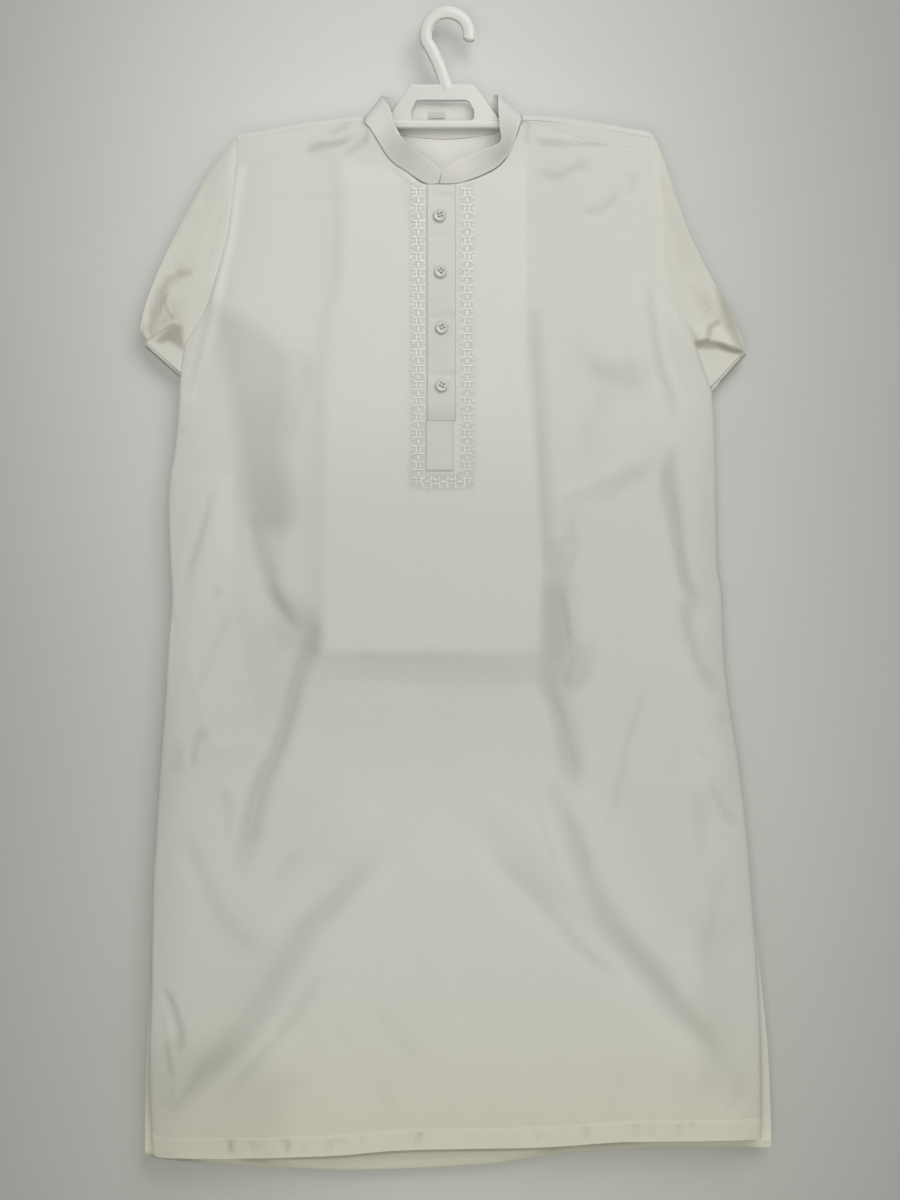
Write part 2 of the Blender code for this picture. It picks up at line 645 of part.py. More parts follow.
def placket():
    xs = (PLACKET_LEFT + 0.2, -13, -6, 1, PLACKET_RIGHT - 0.2)
    drops = [PLACKET_TOP + (PLACKET_STEP - PLACKET_TOP) * k / 8 for k in range(9)]
    grid = [[(x, placket_y(x, drop, 1), drop) for x in xs] for drop in drops]
    wall("placket", grid, CLOTH)
    xs = (PLACKET_LEFT - 1.2, -13, -6, 1, PLACKET_RIGHT - 2.4)
    drops = [mix(PLACKET_STEP + 2 * SEAM_GAP, PLACKET_BOTTOM, k / 2) for k in range(3)]
    grid = [[(x, placket_y(x, drop, 1), drop) for x in xs] for drop in drops]
    wall("placket_end", grid, CLOTH)


def turned(name, centre, profile, segments, finish):
    """A round piece facing the front: profile rows are (radius, height above the cloth)."""
    cx, cy, cd = centre
    rings = []
    for radius, height in profile:
        rings.append([(cx + radius * cos(2 * pi * k / segments), cy - height,
                       cd + radius * sin(2 * pi * k / segments)) for k in range(segments)])
    return loft(name, rings, finish)


def buttons():
    profile = ((4.6, 0.0), (5.7, 0.9), (BUTTON_RADIUS, 1.4), (5.3, BUTTON_HEIGHT), (4.3, BUTTON_HEIGHT),
               (3.7, 1.6))
    for number, place in enumerate(BUTTON_PLACES, start=1):
        cloth = min(placket_y(place.x + dx, place.drop + dd, 1) for dx in (-6, 0, 6) for dd in (-6, 0, 6))
        turned("button_%d" % number, (place.x, cloth - SEAM_GAP, place.drop), profile, 16, PEARL)


def pocket():
    grid = []
    inset = 2.6
    for row in POCKET:
        xs = [mix(row.left, row.right, k / 4) for k in range(5)]
        grid.append([(x, front_y(x, row.drop) + CLOTH + inset, row.drop) for x in xs])
    wall("side_pocket_bag", grid, 1.6)


def label():
    cy = 5.2
    grid = [[(x, cy, drop) for x in (LABEL_LEFT, LABEL_RIGHT)] for drop in (LABEL_TOP, LABEL_BOTTOM)]
    wall("neck_label", grid, 0.6)


def shalwar():
    """One folded strip over the rail: front leaf up, over, and the back leaf down."""
    inner = RAIL_RADIUS + 0.4
    centre = inner + SHALWAR_LEAF / 2
    path = [(-centre, drop, (-1, 0)) for drop in (SHALWAR_FRONT_END, 560, 460, 370, 290, 225, 185)]
    for k in range(7):
        angle = pi * k / 6
        path.append((-centre * cos(angle), RAIL_DROP - centre * sin(angle), (-cos(angle), -sin(angle))))
    path += [(centre, drop, (1, 0)) for drop in (185, 260, 360, 460, 560, SHALWAR_BACK_END)]
    rings = []
    half = SHALWAR_LEAF / 2
    for y, drop, (ny, nd) in path:
        left = lookup(SHALWAR, drop, "left") + 2.5
        right = lookup(SHALWAR, drop, "right") - 2.5
        notch = 2.4
        outline = [(left, half * 0.8), (mix(left, right, 0.33), half), (mix(left, right, 0.67), half),
                   (right, half * 0.8), (right - notch, 0.45), (right - 0.6, 0.0), (right - notch, -0.45),
                   (right, -half * 0.8), (mix(left, right, 0.67), -half), (mix(left, right, 0.33), -half),
                   (left, -half * 0.8), (left + notch, -0.45), (left + 0.6, 0.0), (left + notch, 0.45)]
        rings.append([(x, y + ny * n, drop + nd * n) for x, n in outline])
    loft("shalwar", rings, COTTON)


def section(width, depth):
    a, b = width / 2, depth / 2
    return ((a, -b * 0.5), (a, b * 0.5), (a * 0.6, b), (-a * 0.6, b), (-a, b * 0.5), (-a, -b * 0.5),
            (-a * 0.6, -b), (a * 0.6, -b))


def sweep(name, path, outline, ends=(1.0, 1.0)):
    """A bar of one section along a path of (x, drop) points in the plane of the hanger."""
    rings = []
    count = len(path)
    for i, (x, drop) in enumerate(path):
        bx, bd = path[max(i - 1, 0)]
        ax, ad = path[min(i + 1, count - 1)]
        length = hypot(ax - bx, ad - bd)
        across = ((ad - bd) / length, -(ax - bx) / length)
        size = ends[0] if i == 0 else ends[1] if i == count - 1 else 1.0
        rings.append([(x + across[0] * a * size, b * size, drop + across[1] * a * size) for a, b in outline])
    return loft(name, rings, PLASTIC)


def hook_path():
    radius = HOOK_INNER + HOOK_WIDTH / 2
    points = [(STEM_FOOT[0], STEM_FOOT[1]), (-9.2, 48.0)]
    first, last, steps = 206, -12, 13
    for k in range(steps + 1):
        angle = pi / 180 * mix(first, last, k / steps)
        points.append((radius * cos(angle), HOOK_INNER - radius * sin(angle)))
    end = pi / 180 * (last - 8)
    points.append((radius * cos(end), HOOK_INNER - radius * sin(end)))
    return points


def neck_plate():
    rows = ((PLATE_OUTER, PLATE_DEPTH / 2 - 1.2, 0.0), (PLATE_OUTER, PLATE_DEPTH / 2, 1.4),
            (PLATE_INNER, PLATE_DEPTH / 2, -1.4), (PLATE_INNER, PLATE_DEPTH / 2 - 1.2, 0.0))
    cx = (PLATE_INNER[0][0] + PLATE_INNER[1][0]) / 2
    cd = (PLATE_INNER[0][1] + PLATE_INNER[3][1]) / 2
    rings = []
    for sign in (-1, 1):
        for outline, depth, inset in rows if sign < 0 else reversed(rows):
            ring = []
            for x, drop in outline:
                reach = hypot(x - cx, drop - cd)
                scale = 1 - inset / reach
                ring.append((cx + (x - cx) * scale, sign * depth, cd + (drop - cd) * scale))
            rings.append(ring)
    count = len(PLATE_OUTER)
    vertices = [point for ring in rings for point in ring]
    faces = []
    for r in range(len(rings)):
        after = (r + 1) % len(rings)
        for c in range(count):
            d = (c + 1) % count
            faces.append((r * count + c, r * count + d, after * count + d, after * count + c))
    made = add_object("neck_plate_guide", vertices, faces, PLASTIC)
    turn_outwards(made)
    return made


def hanger():
    body = sweep("hanger", ARM_LINE, section(*ARM_SECTION), ends=(0.6, 0.6))
    rail = [(RAIL_ENDS[0], 122), (RAIL_ENDS[0], 160), (RAIL_ENDS[0] + 3, 168), (RAIL_ENDS[0] + 11, RAIL_DROP),
            (-60, RAIL_DROP), (60, RAIL_DROP), (RAIL_ENDS[1] - 11, RAIL_DROP), (RAIL_ENDS[1] - 3, 168),
            (RAIL_ENDS[1], 160), (RAIL_ENDS[1], 121)]
    rail_section = section(2 * RAIL_RADIUS - 0.8, 2 * RAIL_RADIUS - 1.0)
    guides = [
        sweep("hook_guide", hook_path(), section(HOOK_WIDTH, HOOK_DEPTH), ends=(1.0, 0.55)),
        neck_plate(),
        sweep("rail_guide", rail, rail_section),
    ]
    for guide in guides:
        guide.hide_render = True
        guide.display_type = "WIRE"
        join = body.modifiers.new(guide.name, "BOOLEAN")
        join.operation = "UNION"
        join.object = guide


def main():
    for old in list(bpy.data.objects):
        bpy.data.objects.remove(old)
    front_panel()
    back_panel()
    yoke()
    upper_arm("sleeve_left", LEFT_ARM, -1)
    upper_arm("sleeve_right", RIGHT_ARM, 1)
    forearm("forearm_left", LEFT_FOREARM, -1)
    forearm("forearm_right", RIGHT_FOREARM, 1)
    collar()
    placket()
    buttons()
    pocket()
    label()
    shalwar()
    hanger()


main()
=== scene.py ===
"""A man's white kameez on its moulded hanger, with its shalwar folded over the rail inside.

A place is (x, y, drop) in millimetres until a mesh is made: x runs to the right, y towards the wall behind,
and drop runs down from the inner top of the hook, which is the origin.
"""
from collections import namedtuple
from math import atan2, cos, pi, radians, sin

import bpy
import numpy as np
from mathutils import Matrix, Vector


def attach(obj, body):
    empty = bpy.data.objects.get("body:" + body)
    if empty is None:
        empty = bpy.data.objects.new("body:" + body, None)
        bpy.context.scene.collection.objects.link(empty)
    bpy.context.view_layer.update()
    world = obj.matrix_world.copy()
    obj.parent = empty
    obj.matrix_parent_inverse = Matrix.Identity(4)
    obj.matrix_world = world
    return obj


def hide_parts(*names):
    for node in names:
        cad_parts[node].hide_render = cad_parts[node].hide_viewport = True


bl_info = {
    "name": "Kameez on a hanger",
    "version": (1, 0, 0),
    "blender": (4, 5, 0),
    "location": "View3D > Sidebar > Kameez",
    "description": "Dresses a hanging kameez's solids with cloth, stitching, buttons and a moulded hanger",
    "category": "Object",
}

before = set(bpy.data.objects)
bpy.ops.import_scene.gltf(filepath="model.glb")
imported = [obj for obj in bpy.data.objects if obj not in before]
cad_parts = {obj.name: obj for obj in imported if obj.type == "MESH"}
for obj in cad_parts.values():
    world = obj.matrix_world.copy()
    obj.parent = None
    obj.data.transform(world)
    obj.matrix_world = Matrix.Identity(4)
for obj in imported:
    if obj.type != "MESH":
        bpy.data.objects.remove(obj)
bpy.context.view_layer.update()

MM = 0.001
CLOTH = 1.2
COLLAR_CLOTH = 1.8
SEAM_GAP = 0.3


def linear(code):
    """The linear colour of an sRGB hex value."""
    parts = [int(code[i:i + 2], 16) / 255 for i in (1, 3, 5)]
    return tuple(p / 12.92 if p <= 0.04045 else ((p + 0.055) / 1.055) ** 2.4 for p in parts)


# Side edges of the body at each drop, and of its back where that is wider, below the slits.
Body = namedtuple("Body", "drop left right back_left back_right")
BODY = tuple(Body(*row, *row[1:]) if len(row) == 3 else Body(*row) for row in (
    (119, -221.3, 212.8), (138, -222.2, 214.2), (191, -227.5, 219.5), (222, -231.7, 220.6),
    (254, -239.5, 221.8), (286, -249.0, 230.0), (307, -256.0, 241.5), (333, -271.0, 256.4),
    (344, -277.2, 261.7), (379, -282.4, 274.5), (394, -283.2, 279.7), (437, -286.3, 282.9),
    (508, -294.6, 284.8), (575, -293.0, 286.0), (608, -291.2, 290.6), (666, -295.1, 292.8),
    (719, -298.3, 298.0), (782, -303.6, 307.8), (860, -308.0, 316.7), (927, -311.5, 322.0),
    (1015, -311.5, 327.2, -314.0, 332.0), (1100, -314.0, 330.0, -318.6, 340.0),
    (1200, -310.0, 330.4, -320.5, 343.8),
))
SLIT_DROP = 927

# Depth of the outer face of the front and of the back, in the middle and at the side edges.
EDGE_ROLL = 55
Depth = namedtuple("Depth", "drop front front_edge back back_edge")
DEPTHS = (
    Depth(100, -8.4, -7.0, 8.4, 7.0),
    Depth(120, -9.0, -5.6, 8.8, 6.4),
    Depth(138, -9.5, -5.0, 9.6, 6.0),
    Depth(170, -9.8, -4.4, 10.7, 5.6),
    Depth(254, -9.8, -2.0, 11.0, 4.8),
    Depth(344, -9.5, 0.5, 11.0, 3.8),
    Depth(394, -9.5, 1.0, 11.0, 3.7),
    Depth(680, -9.5, 1.0, 11.0, 3.7),
    Depth(760, -9.5, 1.0, 9.5, 3.7),
    Depth(927, -9.5, 1.0, 9.0, 3.7),
    Depth(1015, -10.5, -3.0, 8.5, 5.0),
    Depth(1190, -13.0, -6.0, 8.0, 6.5),
)

# The folded shalwar that pushes the front out.
Strip = namedtuple("Strip", "drop left right")
SHALWAR = (
    Strip(160, -111.5, 83.6),
    Strip(272, -112.5, 83.6),
    Strip(330, -128.3, 84.0),
    Strip(404, -130.0, 89.9),
    Strip(558, -131.4, 100.4),
    Strip(674, -135.6, 98.3),
)
SHALWAR_TOP = 166
SHALWAR_BOTTOM = 671
SHALWAR_BULGE = 2.6

Edge = namedtuple("Edge", "x drop")
PANEL_TOP = (
    Edge(-224, 152.5), Edge(-179, 144.1), Edge(-153, 143.0), Edge(-107, 132.0), Edge(-94, 118.5),
    Edge(-88.4, 113.0), Edge(-80, 120.0), Edge(-73.8, 130.8), Edge(-60, 151.8), Edge(-43, 164.4),
    Edge(-22, 177.6), Edge(-10, 177.6), Edge(2, 177.6), Edge(24, 173.6), Edge(46, 164.4),
    Edge(60, 153.0), Edge(72, 128.5), Edge(79.1, 113.2), Edge(88.1, 113.4),
    Edge(114, 121.0), Edge(171, 136.7), Edge(216, 140.2),
)
FRONT_HEM = (
    Edge(-311, 1194.0), Edge(-305, 1199.0), Edge(-253, 1199.3), Edge(-145, 1197.2), Edge(-33, 1189.8),
    Edge(89, 1187.7), Edge(197, 1181.4), Edge(330, 1180.4),
)
BACK_HEM = (
    Edge(-320, 1203.0), Edge(-256, 1210.0), Edge(-100, 1217.0), Edge(42, 1211.0), Edge(137, 1198.5),
    Edge(255, 1193.2), Edge(344, 1193.2),
)
SHOULDER_RIDGE = (Edge(-224, 121.5), Edge(-88, 102.5), Edge(80, 101.0), Edge(219, 119.4))
BACK_NECK = (Edge(-88, 111.0), Edge(-60, 119.5), Edge(-2, 125.5), Edge(55, 118.5), Edge(79, 109.5))
NECK_LEFT = -88.0
NECK_RIGHT = 78.8
RIDGE_RADIUS = 8.0
BACK_YOKE_SEAM = 205.0
HEM_HEIGHT = 21.0

# Upper arms: the outer edge that goes with each place down the armhole seam.
Arm = namedtuple("Arm", "seam_drop edge_x edge_drop")
LEFT_ARM = (
    Arm(121, -226.0, 126.5), Arm(128, -236.0, 139.0), Arm(138, -247.8, 153.3), Arm(165, -268.5, 190.5),
    Arm(190, -288.0, 227.3), Arm(222, -302.0, 257.0), Arm(254, -312.0, 280.0), Arm(286, -319.5, 300.5),
    Arm(318, -323.5, 315.0), Arm(346, -325.6, 327.0), Arm(373.3, -319.1, 340.2),
)
RIGHT_ARM = (
    Arm(119.5, 216.6, 122.2), Arm(127, 221.5, 131.0), Arm(138, 225.5, 139.5), Arm(165, 235.0, 166.5),
    Arm(190, 243.5, 192.0), Arm(222, 254.5, 222.0), Arm(254, 268.0, 251.0), Arm(286, 284.0, 281.0),
    Arm(318, 299.0, 307.0), Arm(346, 308.5, 328.0), Arm(373.3, 314.2, 342.0), Arm(388.6, 314.9, 349.1),
)
ARM_EDGE_FRONT = 2.6
ARM_EDGE_BACK = 6.0

# Forearms, folded back at the elbow along a straight line and lying behind the back.
Forearm = namedtuple("Forearm", "side corner fold axis inward length lift lift_from")
LEFT_FOREARM = Forearm(-1, (-322.0, 343.5), (0.747, 0.665), (0.840, -0.542), (0.665, -0.747), 358, 4.6, -150)
RIGHT_FOREARM = Forearm(1, (318.1, 352.1), (-0.678, 0.735), (-0.934, -0.357), (-0.735, -0.678), 348, 0.0, 0)
ELBOW_WIDTH = 190.0
CUFF_WIDTH = 145.0
BEND = 4.0
BEND_INNER = 0.6
FOREARM_NEAR = 3.4
FOREARM_FAR = 6.6
ARMHOLE_REACH = 52.0

# Collar band, from its right end at the throat, round the neck, to its left end.
Stand = namedtuple("Stand", "seam_x seam_drop seam_y top_x top_drop top_y")
COLLAR = (
    Stand(-8.2, 176.6, -12.4, -4.4, 162.4, -16.2),
    Stand(10.0, 176.2, -12.4, 12.3, 153.0, -17.5),
    Stand(23.8, 172.3, -12.3, 24.5, 147.3, -17.8),
    Stand(45.9, 162.9, -12.0, 38.5, 141.0, -17.5),
    Stand(57.0, 154.6, -11.6, 50.5, 136.5, -16.8),
    Stand(66.0, 142.6, -11.2, 56.4, 130.5, -15.4),
    Stand(73.2, 124.0, -10.2, 54.5, 114.0, -13.0),
    Stand(77.2, 109.5, -8.0, 53.4, 92.0, -9.4),
    Stand(78.2, 102.0, 0.0, 53.8, 81.0, -2.8),
    Stand(74.5, 108.0, 7.4, 50.0, 79.4, 4.6),
    Stand(55.0, 118.1, 8.6, 37.5, 84.5, 6.8),
    Stand(-2.0, 125.1, 9.0, -2.4, 90.0, 7.8),
    Stand(-60.0, 119.1, 8.6, -45.0, 86.0, 6.8),
    Stand(-83.5, 109.5, 7.4, -65.0, 80.6, 4.6),
    Stand(-87.3, 103.5, 0.0, -69.0, 81.8, -2.8),
    Stand(-86.0, 111.2, -8.0, -65.0, 89.0, -9.4),
    Stand(-80.5, 118.5, -9.6, -59.5, 98.5, -12.0),
    Stand(-73.8, 129.6, -10.6, -55.8, 112.5, -14.4),
    Stand(-60.1, 150.6, -11.6, -46.4, 130.3, -16.6),
    Stand(-43.3, 163.1, -12.0, -29.6, 145.0, -17.6),
    Stand(-22.3, 176.2, -12.3, -14.5, 156.2, -17.5),
    Stand(-9.2, 176.6, -12.4, -5.6, 162.4, -16.2),
)

# Placket, pocket, label and buttons.
PLACKET_LEFT, PLACKET_RIGHT = -21.3, 9.1
PLACKET_TOP, PLACKET_STEP, PLACKET_BOTTOM = 178.2, 425.4, 478.1
BUTTON_PLACES = (Edge(-7.6, 210.0), Edge(-6.6, 268.6), Edge(-5.5, 327.3), Edge(-5.5, 388.1))
Pocket = namedtuple("Pocket", "drop left right")
POCKET = (
    Pocket(478.7, -289.0, -226.5), Pocket(550, -292.0, -226.5), Pocket(616.5, -289.5, -226.5),
    Pocket(660, -279.0, -217.0), Pocket(720, -262.0, -206.6), Pocket(768, -248.0, -197.0),
)
LABEL_LEFT, LABEL_RIGHT, LABEL_TOP, LABEL_BOTTOM = -19.4, -2.4, 97.0, 103.4

# Large folds that the solids have too, as troughs along (x, drop) points.
Fold = namedtuple("Fold", "points width depth")
FRONT_FOLDS = (
    Fold(((-183, 520), (-189, 600), (-181, 640)), 13, 3.0),
    Fold(((-147, 620), (-144, 655), (-165, 718), (-197, 816), (-225, 921)), 15, 4.0),
    Fold(((97, 670), (113, 718), (129, 764), (132, 813)), 13, 4.0),
    Fold(((105, 805), (129, 858), (147, 918)), 14, 3.0),
    Fold(((241, 440), (232, 480), (244, 564), (262, 620), (258, 658), (290, 715)), 14, 3.5),
    Fold(((-36, 850), (-116, 921), (-170, 1012), (-303, 1176)), 20, 4.0),
    Fold(((-5, 822), (52, 876), (97, 921), (206, 1012), (295, 1106)), 18, 4.0),
    Fold(((157, 516), (206, 477)), 14, 2.0),
)

# Creases of the cloth alone. Left and right are a trough's widths on either side of a line that runs down,
# and on the lower and upper side of one that runs to the right. A ridge has a depth below 0.
Crease = namedtuple("Crease", "points left right depth")
FRONT_CREASES = (
    Crease(((-205, 520), (-201, 545), (-194, 575), (-184, 607), (-165, 635), (-147, 655)), 6, 9, 3.0),
    Crease(((-156, 618), (-145, 640), (-146, 662), (-158, 695), (-170, 740), (-182, 775), (-199, 812),
            (-211, 865), (-226, 915)), 7, 10, 3.5),
    Crease(((-247, 495), (-256, 530), (-266, 562), (-279, 600)), 5, 4, 1.5),
    Crease(((-250, 606), (-236, 608)), 5, 5, 1.0),
    Crease(((-256, 748), (-266, 770), (-271, 792)), 6, 4, 1.6),
    Crease(((-283, 765), (-290, 800)), 7, 7, 1.0),
    Crease(((-228, 622), (-244, 665), (-268, 718)), 8, 4, 0.8),
    Crease(((-239, 808), (-232, 832), (-231, 852), (-236, 874)), 4, 5, 1.0),
    Crease(((-155, 874), (-172, 894), (-186, 916)), 4, 8, 0.8),
    Crease(((-280, 850), (-262, 895), (-240, 945), (-212, 975), (-180, 992)), 12, 10, 1.2),
    Crease(((-62, 874), (-80, 896), (-103, 918), (-130, 946), (-150, 968), (-170, 1002), (-186, 1032),
            (-202, 1057), (-227, 1087), (-252, 1112), (-277, 1142), (-300, 1170)), 15, 11, 2.4),
    Crease(((-128, 1000), (-155, 1042), (-180, 1076), (-206, 1106), (-243, 1148)), 7, 7, 1.3),
    Crease(((-254, 1100), (-270, 1128), (-298, 1158)), 4, 4, 0.8),
    Crease(((-113, 1020), (-110, 1092)), 5, 5, 0.3),
    Crease(((-75, 1041), (-48, 1080), (-23, 1111)), 9, 9, 0.6),
    Crease(((-76, 1120), (-55, 1156)), 6, 6, 0.5),
    Crease(((-100, 1088), (-60, 1112)), 5, 5, 0.3),
    Crease(((-132, 674), (-60, 676), (20, 680), (95, 685)), 24, 5, 0.7),
    Crease(((-152, 345), (-150, 375), (-158, 420), (-168, 455)), 12, 5, 1.2),
    Crease(((-196, 190), (-150, 193), (-112, 191)), 4, 4, 0.4),
    Crease(((-61, 160), (-47, 171), (-36, 179)), 3, 3, 1.1),
    Crease(((-51, 172), (-43, 198), (-39, 228)), 4, 5, 0.8),
    Crease(((-152, 144), (-134, 138), (-112, 133), (-100, 126)), 4, 4, 2.2),
    Crease(((-128, 127), (-114, 120), (-102, 114)), 4, 4, 1.2),
    Crease(((-112, 150), (-103, 143), (-94, 137), (-87, 130), (-85, 122)), 3, 3, 2.2),
    Crease(((-89, 109), (-85, 121), (-90, 133)), 2.2, 2.2, 1.4),
    Crease(((86, 133), (113, 136), (150, 136), (171, 139)), 3, 3, 1.4),
    Crease(((81, 113), (82.5, 123), (82, 138)), 1.6, 3, 1.4),
    Crease(((78, 107), (88, 120)), 2.2, 2.2, 1.0),
    Crease(((90, 125), (108, 128), (128, 130)), 3, 4, -1.2),
    Crease(((-229, 190), (-236, 240), (-247, 290), (-262, 335)), 5, 10, -1.3),
    Crease(((-246, 290), (-259, 335), (-268, 380), (-272, 410)), 5, 7, 1.6),
    Crease(((-283, 352), (-268, 345)), 3, 3, 0.6),
    Crease(((-285, 439), (-276, 432)), 3, 3, 0.6),
    Crease(((93, 163), (115, 170), (130, 162), (152, 154)), 6, 4, 1.7),
    Crease(((138, 206), (160, 205), (181, 187)), 4, 4, 1.5),
    Crease(((177, 226), (198, 202)), 3.5, 3.5, 0.5),
    Crease(((198, 164), (190, 192)), 5, 4, 0.9),
    Crease(((216, 272), (214, 300), (217, 345), (224, 375), (234, 405), (238, 440)), 5, 4, 2.0),
    Crease(((224, 285), (229, 345), (244, 395), (255, 450)), 5, 6, -1.2),
    Crease(((235, 325), (245, 372), (257, 405)), 4, 4, 0.7),
    Crease(((205, 252), (206, 264), (211, 268)), 3, 3, 0.5),
    Crease(((143, 366), (170, 378), (205, 374)), 12, 12, 1.0),
    Crease(((166, 395), (150, 430), (140, 470)), 10, 14, 0.8),
    Crease(((84, 290), (89, 395), (95, 450), (98, 520), (101, 560), (104, 600)), 5, 6, 1.3),
    Crease(((116, 540), (118, 508), (140, 496), (175, 480), (206, 460)), 9, 7, -1.6),
    Crease(((150, 518), (176, 501), (200, 482), (217, 460)), 10, 7, 0.9),
    Crease(((129, 520), (131, 545), (134, 560), (130, 575), (122, 590)), 3, 3, 1.2),
    Crease(((123, 597), (121, 615), (126, 636), (127, 655), (131, 668)), 3, 3, 1.5),
    Crease(((133, 672), (127, 690), (121, 706)), 3.5, 3.5, 1.3),
    Crease(((108, 590), (112, 640), (112, 690)), 14, 12, 1.8),
    Crease(((170, 590), (155, 645), (133, 665)), 5, 5, -0.7),
    Crease(((152, 658), (148, 690), (132, 715)), 9, 5, 0.8),
    Crease(((97, 682), (105, 706), (115, 732), (123, 762), (130, 790), (133, 825)), 9, 8, 2.9),
    Crease(((104, 800), (115, 830), (127, 856), (138, 886), (148, 916), (166, 946), (190, 980), (216, 1011),
            (240, 1045), (266, 1071), (290, 1102), (297, 1118)), 12, 12, 2.4),
    Crease(((40, 872), (55, 890), (72, 906), (102, 937), (137, 977), (166, 1002), (188, 1023)), 9, 8, 1.8),
    Crease(((82, 798), (95, 836), (105, 870), (113, 908)), 4, 5, 0.6),
    Crease(((110, 760), (103, 790)), 4, 4, 0.4),
    Crease(((223, 688), (206, 714), (197, 740), (188, 766), (182, 800), (172, 840), (160, 872)), 4, 4, 1.0),
    Crease(((241, 448), (234, 470), (232, 492), (238, 522), (243, 556), (249, 590), (260, 615), (265, 636)),
           6, 6, 3.4),
    Crease(((250, 605), (254, 642), (263, 676), (276, 700), (291, 717)), 6, 6, 2.3),
    Crease(((264, 581), (279, 599)), 3.5, 3.5, 0.7),
    Crease(((284, 738), (301, 744)), 3, 3, 0.9),
    Crease(((256, 762), (278, 786)), 3.5, 3.5, 0.8),
    Crease(((242, 768), (230, 800)), 9, 9, 0.6),
    Crease(((276, 803), (290, 834), (307, 857)), 4, 4, 1.5),
    Crease(((261, 812), (266, 860), (262, 890)), 7, 7, 0.9),
    Crease(((290, 893), (281, 940), (272, 980), (275, 1012)), 8, 8, 0.9),
    Crease(((290, 988), (301, 1012)), 4, 4, -0.5),
    Crease(((311, 1106), (305, 1135), (290, 1157)), 5, 5, 0.9),
    Crease(((246, 1108), (236, 1148)), 5, 5, 0.5),
    Crease(((183, 1108), (172, 1152)), 4, 4, 0.4),
    Crease(((-300, 1020), (-288, 1045), (-281, 1075), (-288, 1098)), 5, 4, 2.2),
    Crease(((-300, 1050), (-292, 1068), (-284, 1120)), 2.5, 2.5, -1.0),
    Crease(((-297, 1075), (-291, 1120)), 5, 3, 1.2),
    Crease(((-286, 1122), (-300, 1150)), 3, 3, 0.8),
    Crease(((-230, 1178), (-226, 1199)), 2.4, 2.4, 3.0),
    Crease(((-204, 1180), (-203, 1197)), 2.4, 2.4, 1.7),
    Crease(((-171, 1178), (-166, 1197)), 2.4, 2.4, 2.8),
    Crease(((-152, 1180), (-151, 1196)), 2.4, 2.4, 1.6),
    Crease(((-124, 1178), (-125, 1197)), 2.4, 2.4, 2.0),
    Crease(((-112, 1178), (-111, 1190)), 2.4, 2.4, 1.3),
    Crease(((-90, 1176), (-92, 1190)), 2.4, 2.4, 1.2),
    Crease(((-29, 1170), (-34, 1190)), 2.4, 2.4, 2.4),
    Crease(((92, 1166), (94, 1186)), 2.4, 2.4, 1.2),
    Crease(((144, 1164), (146, 1184)), 2.4, 2.4, 1.6),
    Crease(((197, 1162), (199, 1182)), 2.4, 2.4, 2.0),
    Crease(((212, 1161), (213, 1181)), 2.4, 2.4, 1.4),
    Crease(((242, 1162), (243, 1181)), 2.4, 2.4, 1.5),
    Crease(((258, 1160), (259, 1181)), 2.4, 2.4, 1.8),
)
BACK_FOLDS = (
    Fold(((-200, 620), (-150, 760), (-170, 930)), 20, 3.0),
    Fold(((150, 560), (190, 700), (180, 860)), 20, 3.0),
    Fold(((-40, 780), (-10, 950), (-30, 1100)), 22, 3.0),
    Fold(((230, 900), (160, 1020), (60, 1140)), 20, 3.0),
)
BACK_CREASES = (
    Crease(((-262, 430), (-230, 520), (-236, 610)), 8, 6, 1.6),
    Crease(((250, 420), (236, 520), (246, 600)), 6, 8, 1.5),
    Crease(((-200, 610), (-168, 690), (-152, 760), (-158, 850), (-172, 930)), 9, 7, 1.8),
    Crease(((152, 570), (178, 640), (192, 720), (188, 800), (178, 860)), 7, 9, 1.8),
    Crease(((-42, 790), (-20, 880), (-10, 950), (-18, 1030), (-32, 1100)), 9, 9, 1.6),
    Crease(((232, 900), (198, 965), (160, 1020), (112, 1080), (62, 1140)), 8, 8, 1.9),
    Crease(((-110, 480), (-95, 600), (-104, 720)), 12, 9, 1.0),
    Crease(((96, 470), (84, 590), (92, 700)), 9, 12, 0.9),
    Crease(((-262, 880), (-235, 940), (-200, 980), (-150, 1060)), 9, 7, 1.8),
    Crease(((20, 640), (60, 740), (70, 850)), 10, 8, 1.0),
    Crease(((270, 700), (262, 800), (276, 900)), 5, 5, 1.1),
    Crease(((-290, 760), (-276, 850), (-282, 930)), 5, 5, 1.0),
    Crease(((120, 950), (100, 1050), (130, 1150)), 11, 9, 1.0),
    Crease(((-180, 246), (-120, 262), (-60, 258)), 7, 6, 0.9),
    Crease(((60, 236), (120, 250), (190, 244)), 6, 7, 0.8),
    Crease(((-222, 1090), (-160, 1130), (-120, 1180)), 7, 7, 1.2),
    Crease(((-60, 300), (-30, 380), (-44, 470)), 12, 10, 0.7),
    Crease(((150, 300), (120, 380), (128, 460)), 9, 12, 0.8),
    Crease(((205, 640), (222, 700), (216, 770)), 5, 6, 0.9),
    Crease(((-252, 640), (-244, 700), (-258, 760)), 6, 5, 0.9),
)

